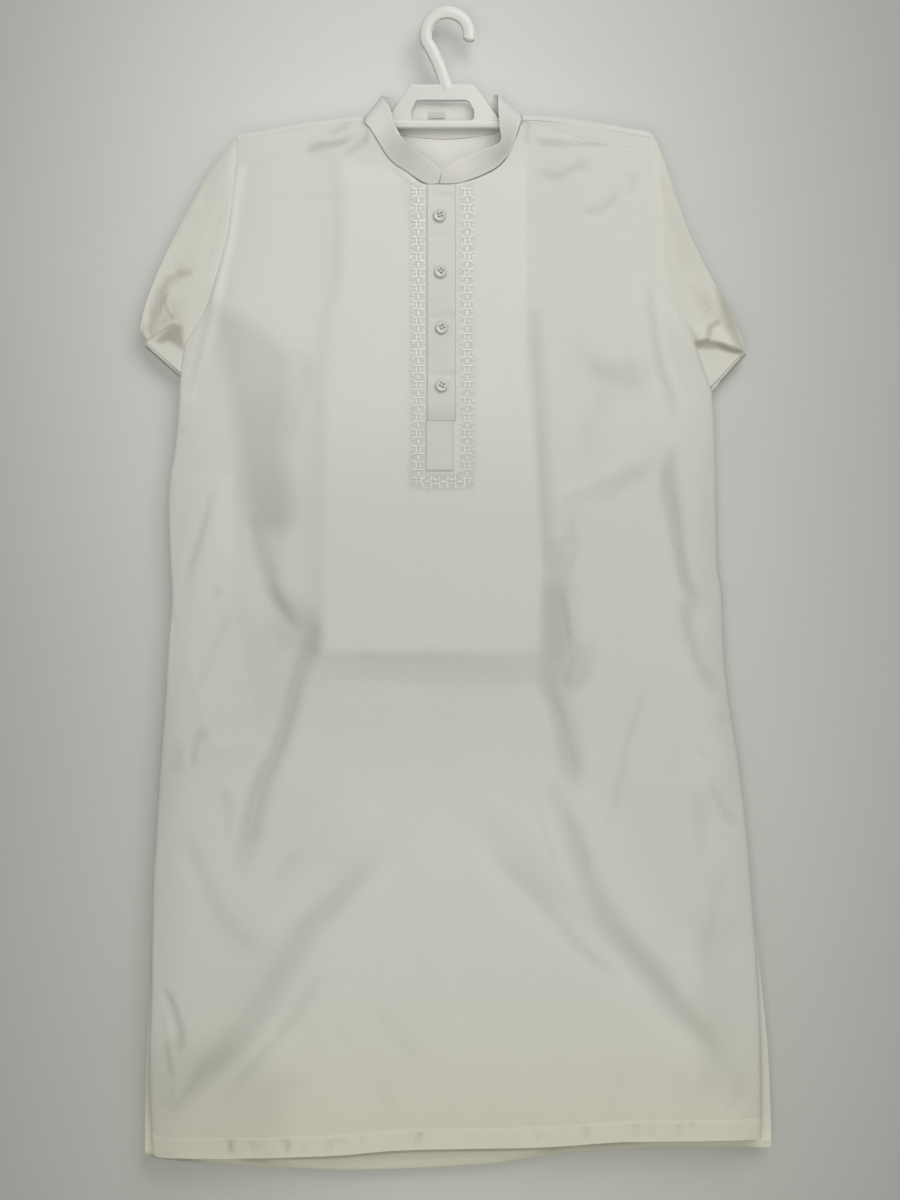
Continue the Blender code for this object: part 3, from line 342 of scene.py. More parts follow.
# Zones of painted shade, where the front hangs clear of what lies behind and less white shows through it.
# A few zones lighten it instead; the strip along the left armhole is a painted highlight on its ridge.
Zone = namedtuple("Zone", "points soft amount")
ZONES = (
    Zone(((-246, 306), (-215, 315), (-194, 330), (-180, 344), (-166, 354), (-164, 385), (-168, 420),
          (-170, 470), (-162, 520), (-175, 545), (-206, 530), (-216, 480), (-224, 420), (-236, 360)),
          15, -0.27),
    Zone(((-222, 494), (-196, 478), (-160, 484), (-150, 515), (-158, 540), (-200, 532)), 18, -0.05),
    Zone(((-244, 603), (-195, 624), (-155, 655), (-165, 708), (-195, 760), (-207, 792), (-270, 792),
          (-254, 708)), 20, -0.08),
    Zone(((-218, 151), (-123, 151), (-128, 298), (-155, 400), (-215, 390), (-233, 298)), 24, 0.09),
    Zone(((-220, 157), (-211, 157), (-226, 246), (-244, 330), (-264, 403), (-272, 401), (-256, 330),
          (-237, 246)), 5, 0.22),
    Zone(((160, 800), (300, 800), (310, 960), (240, 960), (190, 880)), 30, -0.11),
    Zone(((-185, 800), (-125, 810), (-100, 870), (-180, 930)), 25, -0.09),
    Zone(((-196, 600), (-150, 612), (-136, 640), (-140, 668), (-175, 662)), 12, -0.15),
    Zone(((100, 560), (126, 545), (134, 640), (150, 690), (128, 712), (100, 690)), 12, -0.18),
    Zone(((138, 350), (180, 366), (214, 368), (205, 398), (160, 400)), 16, -0.13),
    Zone(((-134, 672), (96, 676), (96, 702), (-136, 700)), 14, -0.10),
    Zone(((-308, 780), (-215, 800), (-190, 900), (-180, 1000), (-240, 1100), (-306, 1150)), 34, -0.10),
    Zone(((-308, 1090), (-230, 1075), (-160, 1120), (-180, 1203), (-308, 1203)), 26, -0.17),
    Zone(((262, 950), (300, 950), (308, 1128), (266, 1130)), 18, -0.14),
    Zone(((-150, 370), (-128, 360), (-130, 660), (-150, 640)), 5, -0.05),
    Zone(((88, 310), (98, 310), (108, 400), (112, 560), (96, 560), (92, 400)), 5, -0.12),
    Zone(((-240, 486), (-226, 484), (-224, 560), (-243, 560)), 4, 0.06),
)
# Painted shade on the cloth between the embroidery's stitches.
TRIM_GROUND_SHADE = (
    Zone(((-39, 176), (-24, 180), (-24, 481), (13, 481), (13, 180), (28, 176), (29, 497), (-40, 497)),
          2.5, -0.24),
)

# Painted shade in the deep hollows under the buckled sleeves, and in softer patches higher up the sleeves.
SLEEVE_SHADE_ZONES = (
    Zone(((-308, 340), (-302, 333), (-295, 327), (-288, 322), (-280, 324), (-278, 350), (-288, 343),
          (-295, 340), (-303, 342)), 3.4, -0.56),
    Zone(((-270, 265), (-284, 265), (-297, 272), (-305, 286), (-313, 307), (-317, 328), (-312, 334),
          (-305, 316), (-300, 297), (-293, 281), (-282, 273), (-270, 270)), 4.5, -0.36),
    Zone(((-298, 290), (-300, 299), (-297, 308), (-290, 318), (-288, 317), (-294, 306), (-297, 298),
          (-296, 290)), 1.6, -0.42),
    Zone(((-312, 334), (-300, 316), (-288, 308), (-284, 318), (-300, 324)), 6, -0.24),
    Zone(((258, 341), (274, 338), (279, 341), (291, 342), (313, 350), (312, 354), (298, 352), (285, 348),
          (260, 348)), 1.9, -0.72),
    Zone(((284, 285), (298, 290), (314, 349), (304, 345), (293, 323)), 5, -0.46),
    Zone(((-228, 128), (-237, 130), (-268, 178), (-300, 240), (-293, 244), (-260, 184)), 3, -0.16),
    Zone(((-324, 328), (-303, 286), (-277, 297), (-277, 349), (-303, 339)), 9, -0.1),
    Zone(((272, 337), (275, 322), (288, 316), (290, 320), (281, 326), (278, 337)), 2.6, -0.36),
    Zone(((260, 283), (275, 288), (286, 312), (270, 316)), 9, -0.14),
    Zone(((226, 165), (240, 190), (262, 240), (268, 275), (250, 262), (232, 210)), 8, -0.08),
)

# Painted shade: the thin dark lines where the forearms' folds shade themselves.
FOLD_SHADE_LINES = (
    Zone(((-319.5, 342.5), (-279, 379), (-283, 383), (-324, 346)), 1.0, -0.75),
    Zone(((314, 351.5), (286, 384), (290, 388), (319, 356)), 1.0, -0.75),
)
# Painted light on the back of the collar, which lifts the shade under the hanger's bar.
COLLAR_BAR_LIGHT = (Zone(((-54, 80), (46, 80), (45, 126), (-53, 126)), 2, 0.3),)


def mix(a, b, t):
    return a + (b - a) * t


def smooth(t):
    t = np.clip(t, 0.0, 1.0)
    return t * t * (3 - 2 * t)


def bell(t):
    """1 at 0, falling away on both sides."""
    return np.exp(-t ** 2)


def curve(table, key, column):
    """A column of a table at keys between its rows, as a smooth curve that doesn't overshoot."""
    keys = np.array([row[0] for row in table], float)
    values = np.array([getattr(row, column) for row in table], float)
    key = np.clip(np.asarray(key, float), keys[0], keys[-1])
    spans = np.diff(keys)
    slopes = np.diff(values) / spans
    before, after = slopes[:-1], slopes[1:]
    same_way = before * after > 0
    tangents = np.empty_like(values)
    tangents[0], tangents[-1] = slopes[0], slopes[-1]
    tangents[1:-1] = np.where(same_way, 2 * before * after / np.where(same_way, before + after, 1), 0)
    i = np.clip(np.searchsorted(keys, key, side="right") - 1, 0, len(keys) - 2)
    t = (key - keys[i]) / spans[i]
    rise = values[i + 1] - values[i]
    start, end = tangents[i] * spans[i], tangents[i + 1] * spans[i]
    return values[i] + t * (start + t * (3 * rise - 2 * start - end + t * (start + end - 2 * rise)))


def through(points, steps=6):
    """A smooth line through a few points."""
    points = np.array(points, float)
    padded = np.vstack([2 * points[0] - points[1], points, 2 * points[-1] - points[-2]])
    line = []
    for a, b, c, d in zip(padded, padded[1:], padded[2:], padded[3:]):
        for t in np.arange(steps) / steps:
            line.append(0.5 * (2 * b + (c - a) * t + (2 * a - 5 * b + 4 * c - d) * t ** 2
                               + (3 * b - a - 3 * c + d) * t ** 3))
    return np.array(line + [points[-1]])


def beside(line, x, drop):
    """Signed distance of places to a line, above 0 on its right as it runs, and their share along it."""
    best = np.full(x.shape, 1e9)
    signed, share = np.zeros(x.shape), np.zeros(x.shape)
    lengths = np.hypot(*np.diff(line, axis=0).T)
    run = 0.0
    for (ax, ad), (bx, bd), length in zip(line, line[1:], lengths):
        ux, ud = (bx - ax) / length, (bd - ad) / length
        t = np.clip((x - ax) * ux + (drop - ad) * ud, 0, length)
        away_x, away_d = x - ax - ux * t, drop - ad - ud * t
        distance = np.hypot(away_x, away_d)
        nearer = distance < best
        best = np.where(nearer, distance, best)
        signed = np.where(nearer, distance * np.sign(away_x * ud - away_d * ux), signed)
        share = np.where(nearer, run + t, share)
        run += length
    return signed, share / run


def around(line, reach, x, drop):
    """Which places are within reach of the box that holds a line."""
    low, high = line.min(axis=0) - reach, line.max(axis=0) + reach
    return (x > low[0]) & (x < high[0]) & (drop > low[1]) & (drop < high[1])


def creased(creases, x, drop, troughs_only=False):
    """How far the creases draw the cloth in, as soft troughs that widen and narrow along their lines."""
    total = np.zeros(x.shape)
    for number, (points, left, right, depth) in enumerate(creases):
        if troughs_only and depth < 0:
            continue
        line = through(points) if len(points) > 2 else np.array(points, float)
        near = around(line, 2.8 * max(left, right), x, drop)
        if not near.any():
            continue
        signed, share = beside(line, x[near], drop[near])
        width = np.where(signed < 0, left, right) * (1 + 0.2 * np.sin(7 * share + 1.7 * number))
        ends = smooth(np.minimum(share, 1 - share) * 4 + 0.1)
        total[near] += depth * ends * bell(signed / width)
    return total


def in_troughs(creases, x, drop):
    """How deep a place lies in the troughs, from 0 to 1."""
    return np.clip(creased(creases, x, drop, troughs_only=True) / 3, 0, 1)


def in_zones(zones, x, drop):
    """The sum of the zones' amounts at each place, soft at their edges."""
    total = np.zeros(x.shape)
    for points, soft, amount in zones:
        ring = np.array(points + points[:1], float)
        near = around(ring, 2 * soft, x, drop)
        inside = np.zeros(int(near.sum()), bool)
        near_x, near_drop = x[near], drop[near]
        for (ax, ad), (bx, bd) in zip(ring, ring[1:]):
            if ad == bd:
                continue
            crossing = ax + (near_drop - ad) * (bx - ax) / (bd - ad)
            inside ^= ((ad > near_drop) != (bd > near_drop)) & (near_x < crossing)
        signed, _ = beside(ring, near_x, near_drop)
        depth = np.where(inside, abs(signed), -abs(signed))
        total[near] += amount * smooth(depth / (2 * soft) + 0.5)
    return total


def fold_depth(folds, x, drop):
    """How far the solids' large folds draw the cloth in."""
    total = np.zeros(x.shape)
    for fold in folds:
        signed, share = beside(np.array(fold.points, float), x, drop)
        ends = smooth(np.minimum(share, 1 - share) * 4 + 0.15)
        total += fold.depth * bell(signed / fold.width) * ends
    return total


def ripple(x, drop, seed, length, height):
    """A soft unevenness, the sum of seeded waves that run every way."""
    random = np.random.default_rng(seed)
    total = np.zeros(np.shape(x))
    ways, scales, phases = [random.uniform(*span, 9) for span in ((0, pi), (0.7, 1.7), (0, 6.28))]
    for way, scale, phase in zip(ways, scales, phases):
        total += np.sin((x * cos(way) * 1.3 + drop * sin(way) * 0.75) * 2 * pi / (length * scale) + phase)
    return total * height / 3


def sides(table, drop):
    return curve(table, drop, "left"), curve(table, drop, "right")


def side_edges(drop, back=False):
    prefix = "back_" if back else ""
    return curve(BODY, drop, prefix + "left"), curve(BODY, drop, prefix + "right")


def from_edge(x, drop, back=False):
    left, right = side_edges(drop, back)
    return np.minimum(x - left, right - x)


def roll(x, drop, back=False):
    return 1 - (1 - np.clip(from_edge(x, drop, back) / EDGE_ROLL, 0, 1)) ** 2


def over_shalwar(x, drop, soft=9, hem_soft=16, top=SHALWAR_TOP, top_soft=20):
    """1 over the folded shalwar, falling to 0 outside its edges, more softly on the left."""
    left, right = sides(SHALWAR, drop)
    across = smooth((x - left) / (2 * soft) + 0.5) * smooth((right - x) / soft + 0.5)
    return across * smooth((drop - top) / top_soft + 0.5) * smooth((SHALWAR_BOTTOM - drop) / hem_soft + 0.5)


def over_pocket(x, drop):
    left, right = sides(POCKET, drop)
    across = smooth((x - left) / 3 + 0.5) * smooth((right - x) / 3 + 0.5)
    return across * smooth((drop - POCKET[0].drop) / 3 + 0.5) * smooth((POCKET[-1].drop - drop) / 5 + 0.5)


def panel_top(x):
    return curve(PANEL_TOP, x, "drop")


def front_hem(x):
    return curve(FRONT_HEM, x, "drop")


def back_hem(x):
    return curve(BACK_HEM, x, "drop")


def hem_step(x, drop, hem, seed):
    """The turned hem stands a little proud below its stitching, which gathers it in small puckers."""
    above = hem - HEM_HEIGHT - drop
    puckers = 0.35 * np.sin(x / 8.3 + seed) * np.sin(x / 23.0 + 2 * seed) + 0.2 * np.sin(x / 4.1)
    return -0.6 * smooth(-above / 2.0) + puckers * bell(above / 7)


def front_y(x, drop, bare=False):
    """Depth of the outer face of the front. The bare face leaves the fine creases out."""
    x, drop = np.asarray(x, float), np.asarray(drop, float)
    middle, edge = curve(DEPTHS, drop, "front"), curve(DEPTHS, drop, "front_edge")
    over = over_shalwar(x, drop)
    drawn = fold_depth(FRONT_FOLDS, x, drop) * (1 - 0.9 * over)
    fine = 0.0
    if not bare:
        # The placket and its trim keep the front flat.
        held = 1 - 0.8 * smooth((46 - abs(x + 6)) / 16) * smooth((500 - drop) / 20)
        fine = 1.3 * creased(FRONT_CREASES, np.atleast_1d(x), np.atleast_1d(drop)).reshape(x.shape) * held
        fine = fine + ripple(x, drop, 11, 95, 0.55) * held * (1 - 0.6 * over) + ripple(x, drop, 12, 26, 0.10)
        fine = fine - 0.5 * over_pocket(x, drop) + side_puckers(x, drop)
    broad = mix(edge, middle - SHALWAR_BULGE * over + drawn, roll(x, drop))
    return broad + fine * smooth(from_edge(x, drop) / 5)


def side_puckers(x, drop, back=False):
    """Small uneven gathers where the side seams are sewn, above the slits."""
    inward = from_edge(x, drop, back)
    beat = np.sin(drop / 4.7 + 2.1 * np.sin(drop / 31.0)) * (0.6 + 0.4 * np.sin(drop / 53.0))
    sewn = smooth((SLIT_DROP - drop) / 10) * smooth((drop - 330) / 30)
    return 0.55 * beat * bell(inward / 7) * sewn


def back_y(x, drop, bare=False):
    """Depth of the outer face of the back."""
    x, drop = np.asarray(x, float), np.asarray(drop, float)
    middle, edge = curve(DEPTHS, drop, "back"), curve(DEPTHS, drop, "back_edge")
    drawn = fold_depth(BACK_FOLDS, x, drop)
    fine = 0.0
    if not bare:
        fine = creased(BACK_CREASES, np.atleast_1d(x), np.atleast_1d(drop)).reshape(x.shape)
        fine = fine + ripple(x, drop, 21, 100, 0.5) + ripple(x, drop, 22, 28, 0.10)
        fine = (fine + side_puckers(x, drop, back=True)) * smooth(from_edge(x, drop, back=True) / 5)
    return mix(edge, middle - drawn, roll(x, drop, back=True)) - fine


def hemmed_front_y(x, drop):
    return front_y(x, drop) + hem_step(x, drop, front_hem(x), 0.4)


def hemmed_back_y(x, drop):
    return back_y(x, drop) - hem_step(x, drop, back_hem(x), 1.9)


def skin_y(x, drop):
    """Depth of the bare back, which goes on level past the side edges."""
    left, right = side_edges(drop)
    return back_y(np.clip(x, left, right), drop, bare=True)


def alone():
    bpy.ops.object.select_all(action="DESELECT")


def only(piece):
    alone()
    piece.select_set(True)
    bpy.context.view_layer.objects.active = piece


def made_by(operator, name, **settings):
    """A new piece from one of Blender's mesh operators."""
    alone()
    operator(**settings)
    piece = bpy.context.object
    piece.name = name
    return piece


def added(name, data):
    """A new object in the scene, with its mesh, light or camera."""
    made = bpy.data.objects.new(name, data)
    bpy.context.scene.collection.objects.link(made)
    return made


def edit_all(piece, operator, **settings):
    """Runs a mesh operator on the whole of a piece."""
    only(piece)
    bpy.ops.object.mode_set(mode="EDIT")
    bpy.ops.mesh.select_all(action="SELECT")
    operator(**settings)
    bpy.ops.object.mode_set(mode="OBJECT")


def edit_faces(piece, chosen):
    """Opens a piece for editing with only the chosen faces selected."""
    only(piece)
    bpy.ops.object.mode_set(mode="EDIT")
    bpy.ops.mesh.select_mode(type="FACE")
    bpy.ops.mesh.select_all(action="DESELECT")
    bpy.ops.object.mode_set(mode="OBJECT")
    piece.data.polygons.foreach_set("select", chosen)
    bpy.ops.object.mode_set(mode="EDIT")


def apply_modifier(piece, kind, **settings):
    only(piece)
    modifier = piece.modifiers.new(kind.title(), kind)
    for name, value in settings.items():
        setattr(modifier, name, value)
    bpy.ops.object.modifier_apply(modifier=modifier.name)


def even(length, step, finer=()):
    """Shares along a length, close together in finer spans and near both ends, where seams lie."""
    places = [0.0, 0.7, 1.5, 2.6]
    while places[-1] < length - 2.6 - step:
        steps = [small for start, end, small in finer if start < places[-1] < end]
        places.append(places[-1] + min([step] + steps))
    return np.array(places + [length - 1.5, length - 0.7, length]) / length


def laid_cloth(name, across, down, place, thickness=CLOTH, backed=None, tube=False, drop_cells=None):
    """A cloth: a grid whose points are laid on the form, and then given its thickness inwards.

    across and down are shares of its width and length. place turns them into x, y and drop. The backing
    function gives how much white lies behind each place, from 0 to 1, with painted light and shade in it.
    drop_cells says which cells are cut away.
    """
    columns, rows = len(across) - 1, len(down) - 1
    piece = made_by(bpy.ops.mesh.primitive_grid_add, name, size=1, x_subdivisions=columns,
                    y_subdivisions=rows)
    mesh = piece.data
    mesh.name = name
    flat = np.empty(len(mesh.vertices) * 3)
    mesh.vertices.foreach_get("co", flat)
    flat = flat.reshape(-1, 3)
    column = np.rint((flat[:, 0] + 0.5) * columns).astype(int)
    row = np.rint((0.5 - flat[:, 1]) * rows).astype(int)
    grid_u, grid_v = np.meshgrid(across, down)
    x, y, drop = place(grid_u, grid_v)
    spots = np.stack([x[row, column], y[row, column], -drop[row, column]], axis=1) * MM
    mesh.vertices.foreach_set("co", spots.ravel())
    # How much white lies behind each place, with painted light and shade worked into it.
    behind = np.full(x.shape, 0.5) if backed is None else np.clip(backed(x, drop), 0, 1)
    shown = mesh.attributes.new("backed", "FLOAT", "POINT")
    shown.data.foreach_set("value", behind[row, column].astype(np.float32))
    if drop_cells is not None:
        cut_away(piece, column, row, drop_cells)
    mesh.update()
    if tube:
        edit_all(piece, bpy.ops.mesh.remove_doubles, threshold=1e-6)
    apply_modifier(piece, "SOLIDIFY", thickness=thickness * MM, offset=-1, use_even_offset=False)
    only(piece)
    bpy.ops.object.shade_smooth_by_angle(angle=radians(50))
    return piece


def cut_away(piece, column, row, drop_cells):
    chosen = []
    for face in piece.data.polygons:
        corners = list(face.vertices)
        chosen.append(drop_cells(column[corners].min(), row[corners].min()))
    edit_faces(piece, np.array(chosen, bool))
    bpy.ops.mesh.delete(type="FACE")
    bpy.ops.object.mode_set(mode="OBJECT")


def finished(piece, look, slot, *nodes):
    """Gives a piece its material and its place in the frame."""
    piece.data.materials.clear()
    piece.data.materials.append(bpy.data.materials[look])
    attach(piece, "root")
    if nodes:
        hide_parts(*nodes)


def feed(tree, node, values):
    """Sets a node's inputs, each to a value or to the socket that feeds it."""
    for name, value in values.items():
        socket = node.inputs[name]
        if isinstance(value, bpy.types.NodeSocket):
            tree.links.new(value, socket)
        else:
            socket.default_value = value


def add_node(tree, kind, values=None, **settings):
    """Adds a node, with its settings and what goes into its inputs."""
    node = tree.nodes.new(kind)
    for name, value in settings.items():
        setattr(node, name, value)
    feed(tree, node, values or {})
    return node


def new_material(name):
    """A new material's nodes, its shader and the place on the object, in metres."""
    made = bpy.data.materials.new(name)
    made.use_nodes = True
    tree = made.node_tree
    return tree, tree.nodes["Principled BSDF"], add_node(tree, "ShaderNodeTexCoord").outputs["Object"]


def maths(tree, operation, *values):
    return add_node(tree, "ShaderNodeMath", dict(enumerate(values)), operation=operation).outputs[0]


def noise(tree, place, scale, detail, distortion=0.0):
    values = {"Vector": place, "Scale": scale, "Detail": detail, "Distortion": distortion}
    return add_node(tree, "ShaderNodeTexNoise", values).outputs["Fac"]


def ranged(tree, value, start, end, first=0.0, last=1.0, **settings):
    """Goes from start to end while the value goes from first to last."""
    values = {"Value": value, "From Min": first, "From Max": last, "To Min": start, "To Max": end}
    return add_node(tree, "ShaderNodeMapRange", values, **settings).outputs[0]


def scaled(tree, colour, factor):
    return add_node(tree, "ShaderNodeVectorMath", {0: colour, "Scale": factor}, operation="SCALE").outputs[0]


def mixed(tree, share, a, b, **settings):
    values = {"Factor": share, "A": a, "B": b}
    return add_node(tree, "ShaderNodeMix", values, data_type="RGBA", **settings).outputs["Result"]


def bumped(tree, height, strength, distance, **values):
    values.update(Height=height, Strength=strength, Distance=distance)
    return add_node(tree, "ShaderNodeBump", values).outputs[0]


def level(tree, place):
    return add_node(tree, "ShaderNodeSeparateXYZ", {"Vector": place}).outputs["Z"]


def away(tree, place, middle):
    """Distance of a place from a middle."""
    values = {0: place, 1: middle}
    return add_node(tree, "ShaderNodeVectorMath", values, operation="DISTANCE").outputs["Value"]


# What the cloth's colour is multiplied by at the hems, where it has yellowed a little.
HEM_WARMTH = (0.985, 0.965, 0.88)
# Stretch of the noise for a cloth's thicker threads, which run down and across.
SLUBS = ((900, 900, 60), (60, 900, 900))
# A wave texture makes this many radians in each metre at a scale of 1.
WAVE_RADIANS = 20


def woven_cotton(name, thin, full, thread_mm, weave_bump, sheen):
    """Pressed plain weave: matt, with a faint grain of warp and weft and thicker slubs here and there.

    The real cloth's threads are about 0.25 mm apart, too fine to show, so they are drawn thread_mm apart.
    """
    tree, shader, place = new_material(name)
    backed = add_node(tree, "ShaderNodeAttribute", attribute_name="backed").outputs["Fac"]
    threads = {"Vector": place, "Scale": 2 * pi / (thread_mm * MM) / WAVE_RADIANS, "Distortion": 1.2,
               "Detail": 2.0, "Detail Scale": 3.0}
    waves = [add_node(tree, "ShaderNodeTexWave", threads, bands_direction=way).outputs["Fac"] for way in "XZ"]
    drawn_out = [add_node(tree, "ShaderNodeMapping", {"Vector": place, "Scale": scale}) for scale in SLUBS]
    slubs = maths(tree, "ADD", *[noise(tree, node.outputs[0], 1.0, 2.0) for node in drawn_out])
    grain = maths(tree, "MULTIPLY_ADD", slubs, 0.7, maths(tree, "ADD", *waves))
    # The colour goes from thin to full with that attribute, so it carries its painted light and shade.
    base = mixed(tree, backed, (*thin, 1), (*full, 1))
    colour = scaled(tree, base, ranged(tree, slubs, 0.992, 1.006, 0.7, 1.3))
    hem = ranged(tree, level(tree, place), 1.0, 0.0, -1.21, -1.03)
    fine = bumped(tree, grain, weave_bump, 0.0002)
    feed(tree, shader, {
        "Base Color": mixed(tree, hem, colour, (*HEM_WARMTH, 1), blend_type="MULTIPLY"),
        "Normal": bumped(tree, noise(tree, place, 38.0, 3.0), 0.2, 0.0012, Normal=fine),
        "Roughness": 0.88,
        "Sheen Weight": sheen,
        "Sheen Roughness": 0.5,
        "Specular IOR Level": 0.25,
    })


def rayon_thread(name, colour):
    """Machine embroidery thread: bright viscose with a silky gleam, and painted shade that darkens it down
    the front.
    """
    tree, shader, place = new_material(name)
    # Painted light from above: brighter higher up, darker lower down.
    gleam = ranged(tree, level(tree, place), 0.84, 1.0, -0.48, -0.26)
    feed(tree, shader, {
        "Base Color": scaled(tree, colour, gleam),
        "Normal": bumped(tree, noise(tree, place, 900.0, 1.0), 0.4, 0.0003),
        "Roughness": 0.42,
        "Sheen Weight": 0.3,
    })


def moulded_polypropylene(name, colour):
    """Injection-moulded polypropylene: milky white, a soft gloss and the faint ripple of a cooled skin."""
    tree, shader, place = new_material(name)
    ripples = noise(tree, place, 140.0, 2.0)
    feed(tree, shader, {
        "Base Color": (*colour, 1),
        "Normal": bumped(tree, ripples, 0.15, 0.0004),
        "Roughness": ranged(tree, ripples, 0.10, 0.22),
        "IOR": 1.49,
    })


def pearly_polyester(name, colour):
    """Cast polyester button: polished, with a faint pearl cloud under the surface."""
    tree, shader, place = new_material(name)
    pearl = ranged(tree, noise(tree, place, 420.0, 3.0, 1.5), 0.9, 1.06)
    feed(tree, shader, {"Base Color": scaled(tree, colour, pearl), "Roughness": 0.3, "Coat Weight": 0.4})


def woven_satin(name, colour):
    """A blank woven label: smooth satin with fine ribs across it."""
    tree, shader, place = new_material(name)
    ribs = add_node(tree, "ShaderNodeTexWave", {"Vector": place, "Scale": 380.0}, bands_direction="Z")
    feed(tree, shader, {
        "Base Color": (*colour, 1),
        "Normal": bumped(tree, ribs.outputs["Fac"], 0.3, 0.0002),
        "Roughness": 0.5,
    })


def painted_wall(name, colour):
    """Matt emulsion on smooth plaster, which only shows from its front so that the back can be seen."""
    tree, shader, place = new_material(name)
    tone = ranged(tree, noise(tree, place, 5.0, 4.0), 0.985, 1.015)
    # Painted light: brighter round the top middle.
    top = away(tree, place, (-0.16, 0.55, 0))
    painted_light_round_top = ranged(tree, top, 1.28, 0.95, 0.0, 0.8, interpolation_type="SMOOTHSTEP")
    # Painted light and shade: brighter in an oval round the middle, darker towards the edges and corners.
    oval = add_node(tree, "ShaderNodeVectorMath", {0: place, 1: (2.0, 1.0, 0)}, operation="MULTIPLY")
    painted_vignette = ranged(tree, away(tree, oval.outputs[0], (0.02, -0.16, 0)), 1.24, 0.79, 0.45, 1.2)
    shade = maths(tree, "MULTIPLY", maths(tree, "MULTIPLY", tone, painted_light_round_top), painted_vignette)
    feed(tree, shader, {"Base Color": scaled(tree, colour, shade), "Roughness": 0.95})
    behind = add_node(tree, "ShaderNodeNewGeometry").outputs["Backfacing"]
    clear = add_node(tree, "ShaderNodeBsdfTransparent").outputs[0]
    shown = add_node(tree, "ShaderNodeMixShader", {0: behind, 1: shader.outputs[0], 2: clear})
    feed(tree, tree.nodes["Material Output"], {"Surface": shown.outputs[0]})


def colour_property(name, code, description):
    return bpy.props.FloatVectorProperty(
        name=name, description=description, subtype="COLOR", size=3, default=linear(code), min=0, max=1)


def length_property(name, default, least, most, description, precision=4):
    return bpy.props.FloatProperty(
        name=name, description=description, default=default, min=least, max=most, unit="LENGTH",
        precision=precision)


class KameezCloth(bpy.types.PropertyGroup):
    """Colours and thread of the cloth."""
    # The cloth goes from thin to full; painted shade takes it towards thin, and on the sleeves towards the
    # hollow colour.
    thin: colour_property("Single layer", "#AFB1AC", "Cotton with nothing white behind it")
    # The sleeves' single layer: a warm colour that their painted shade in the folds goes towards.
    hollow_shade: colour_property("Hollow", "#B0ADA0", "Cotton deep in a fold, warmed by the cloth around it")
    full: colour_property("Backed", "#EDEDE6", "Cotton with more white cloth behind it")
    placket: colour_property("Stiffened", "#E5E4E0", "Fused cotton of the placket and collar")
    thread: colour_property("Thread", "#FFFFFC", "White embroidery and sewing thread")
    weave: length_property("Weave", 0.0011, 0.0002, 0.004, "Distance between the threads as drawn", 5)
    step: length_property("Mesh step", 0.0044, 0.002, 0.02, "Size of the cloth's cells")
    stitch: length_property("Stitch", 0.0028, 0.001, 0.006, "Length of a sewing stitch with its gap")


class KameezTrim(bpy.types.PropertyGroup):
    """Sizes and colours of the buttons, the label and the hanger."""
    button_width: length_property("Button width", 0.0130, 0.008, 0.02, "Diameter of a shirt button")
    button: colour_property("Button", "#D2D3CE", "Pearly polyester")
    label: colour_property("Label", "#CDCDC8", "Blank satin label")
    hanger: colour_property("Hanger", "#E0E1DC", "White polypropylene")
    hook_radius: length_property("Hook", 0.0165, 0.01, 0.03, "Inner radius of the hook")


class KameezStage(bpy.types.PropertyGroup):
    """The wall, the key light and what the camera takes in."""
    wall: colour_property("Wall", "#C1C3C0", "Matt wall behind the kameez")
    distance: length_property("Camera distance", 1.9, 0.5, 6.0, "From the lens to the front of the kameez", 2)
    seen_height: length_property("Seen height", 1.26, 0.5, 4.0, "Height that the picture takes in", 2)
    key: bpy.props.FloatProperty(
        name="Key light", description="Power of the soft light above the front", default=30.0, min=0,
        unit="POWER")


def front_backing_light_shade(x, drop):
    """How much white shows through the front: the shalwar, the pocket and the hems lighten it.

    Painted shade makes it lower in the troughs, in most of the zones, along the side edges and from the waist
    down.
    """
    backing = over_shalwar(x, drop, soft=6, hem_soft=5, top=148, top_soft=60)
    base = 0.64 + mix(0.14, 0.03, smooth((drop - 170) / 480)) * backing + 0.05 * over_pocket(x, drop)
    base = base - 0.06 * smooth((drop - 600) / 500)
    base = base - 0.14 * smooth((drop - 380) / 160) * smooth((870 - drop) / 150)
    edge = from_edge(x, drop)
    broad = mix(-0.06, 0.13, smooth(np.maximum((drop - 650) / 150, x / 20)))
    # Painted shade along the side edges, with a little painted light beside the left edge above the waist.
    rim = broad * bell(edge / 24) + 0.4 * bell(edge / 1.6)
    base = base - rim * smooth((drop - 300) / 60)
    # The zones paint shade and some light, and the trim's ground gets painted shade.
    base = base + in_zones(ZONES, x, drop) * (1 - 0.8 * backing) + in_zones(TRIM_GROUND_SHADE, x, drop)
    # The hem's second layer lightens it, and painted shade darkens the crease troughs.
    hem = 0.06 * smooth((drop - front_hem(x) + HEM_HEIGHT) / 1.5)
    return base - 0.27 * in_troughs(FRONT_CREASES, x, drop) + hem


def back_backing_light_shade(x, drop):
    """The back shows the shalwar; painted light makes its upper part bright where it is seen through the
    neck.
    """
    backing = over_shalwar(x, drop, soft=2.5, hem_soft=3)
    # Painted light on the upper part seen through the neck and on the hem's strip.
    bright = 0.25 * smooth((240 - drop) / 40) + 0.2 * smooth((drop - 1150) / 30)
    # Painted shade: a shadow line just below the front's hem, and a dark line along the back's lower edge.
    painted_hem_shadow = 0.7 * bell((drop - front_hem(x) - 7.4) / 1.6)
    rim = 0.45 * smooth((drop - back_hem(x) + 2.5) / 2)
    # Painted shade in the crease troughs.
    troughs = in_troughs(BACK_CREASES, x, drop)
    return 0.66 + 0.10 * backing - 0.25 * troughs + bright - (painted_hem_shadow + rim)


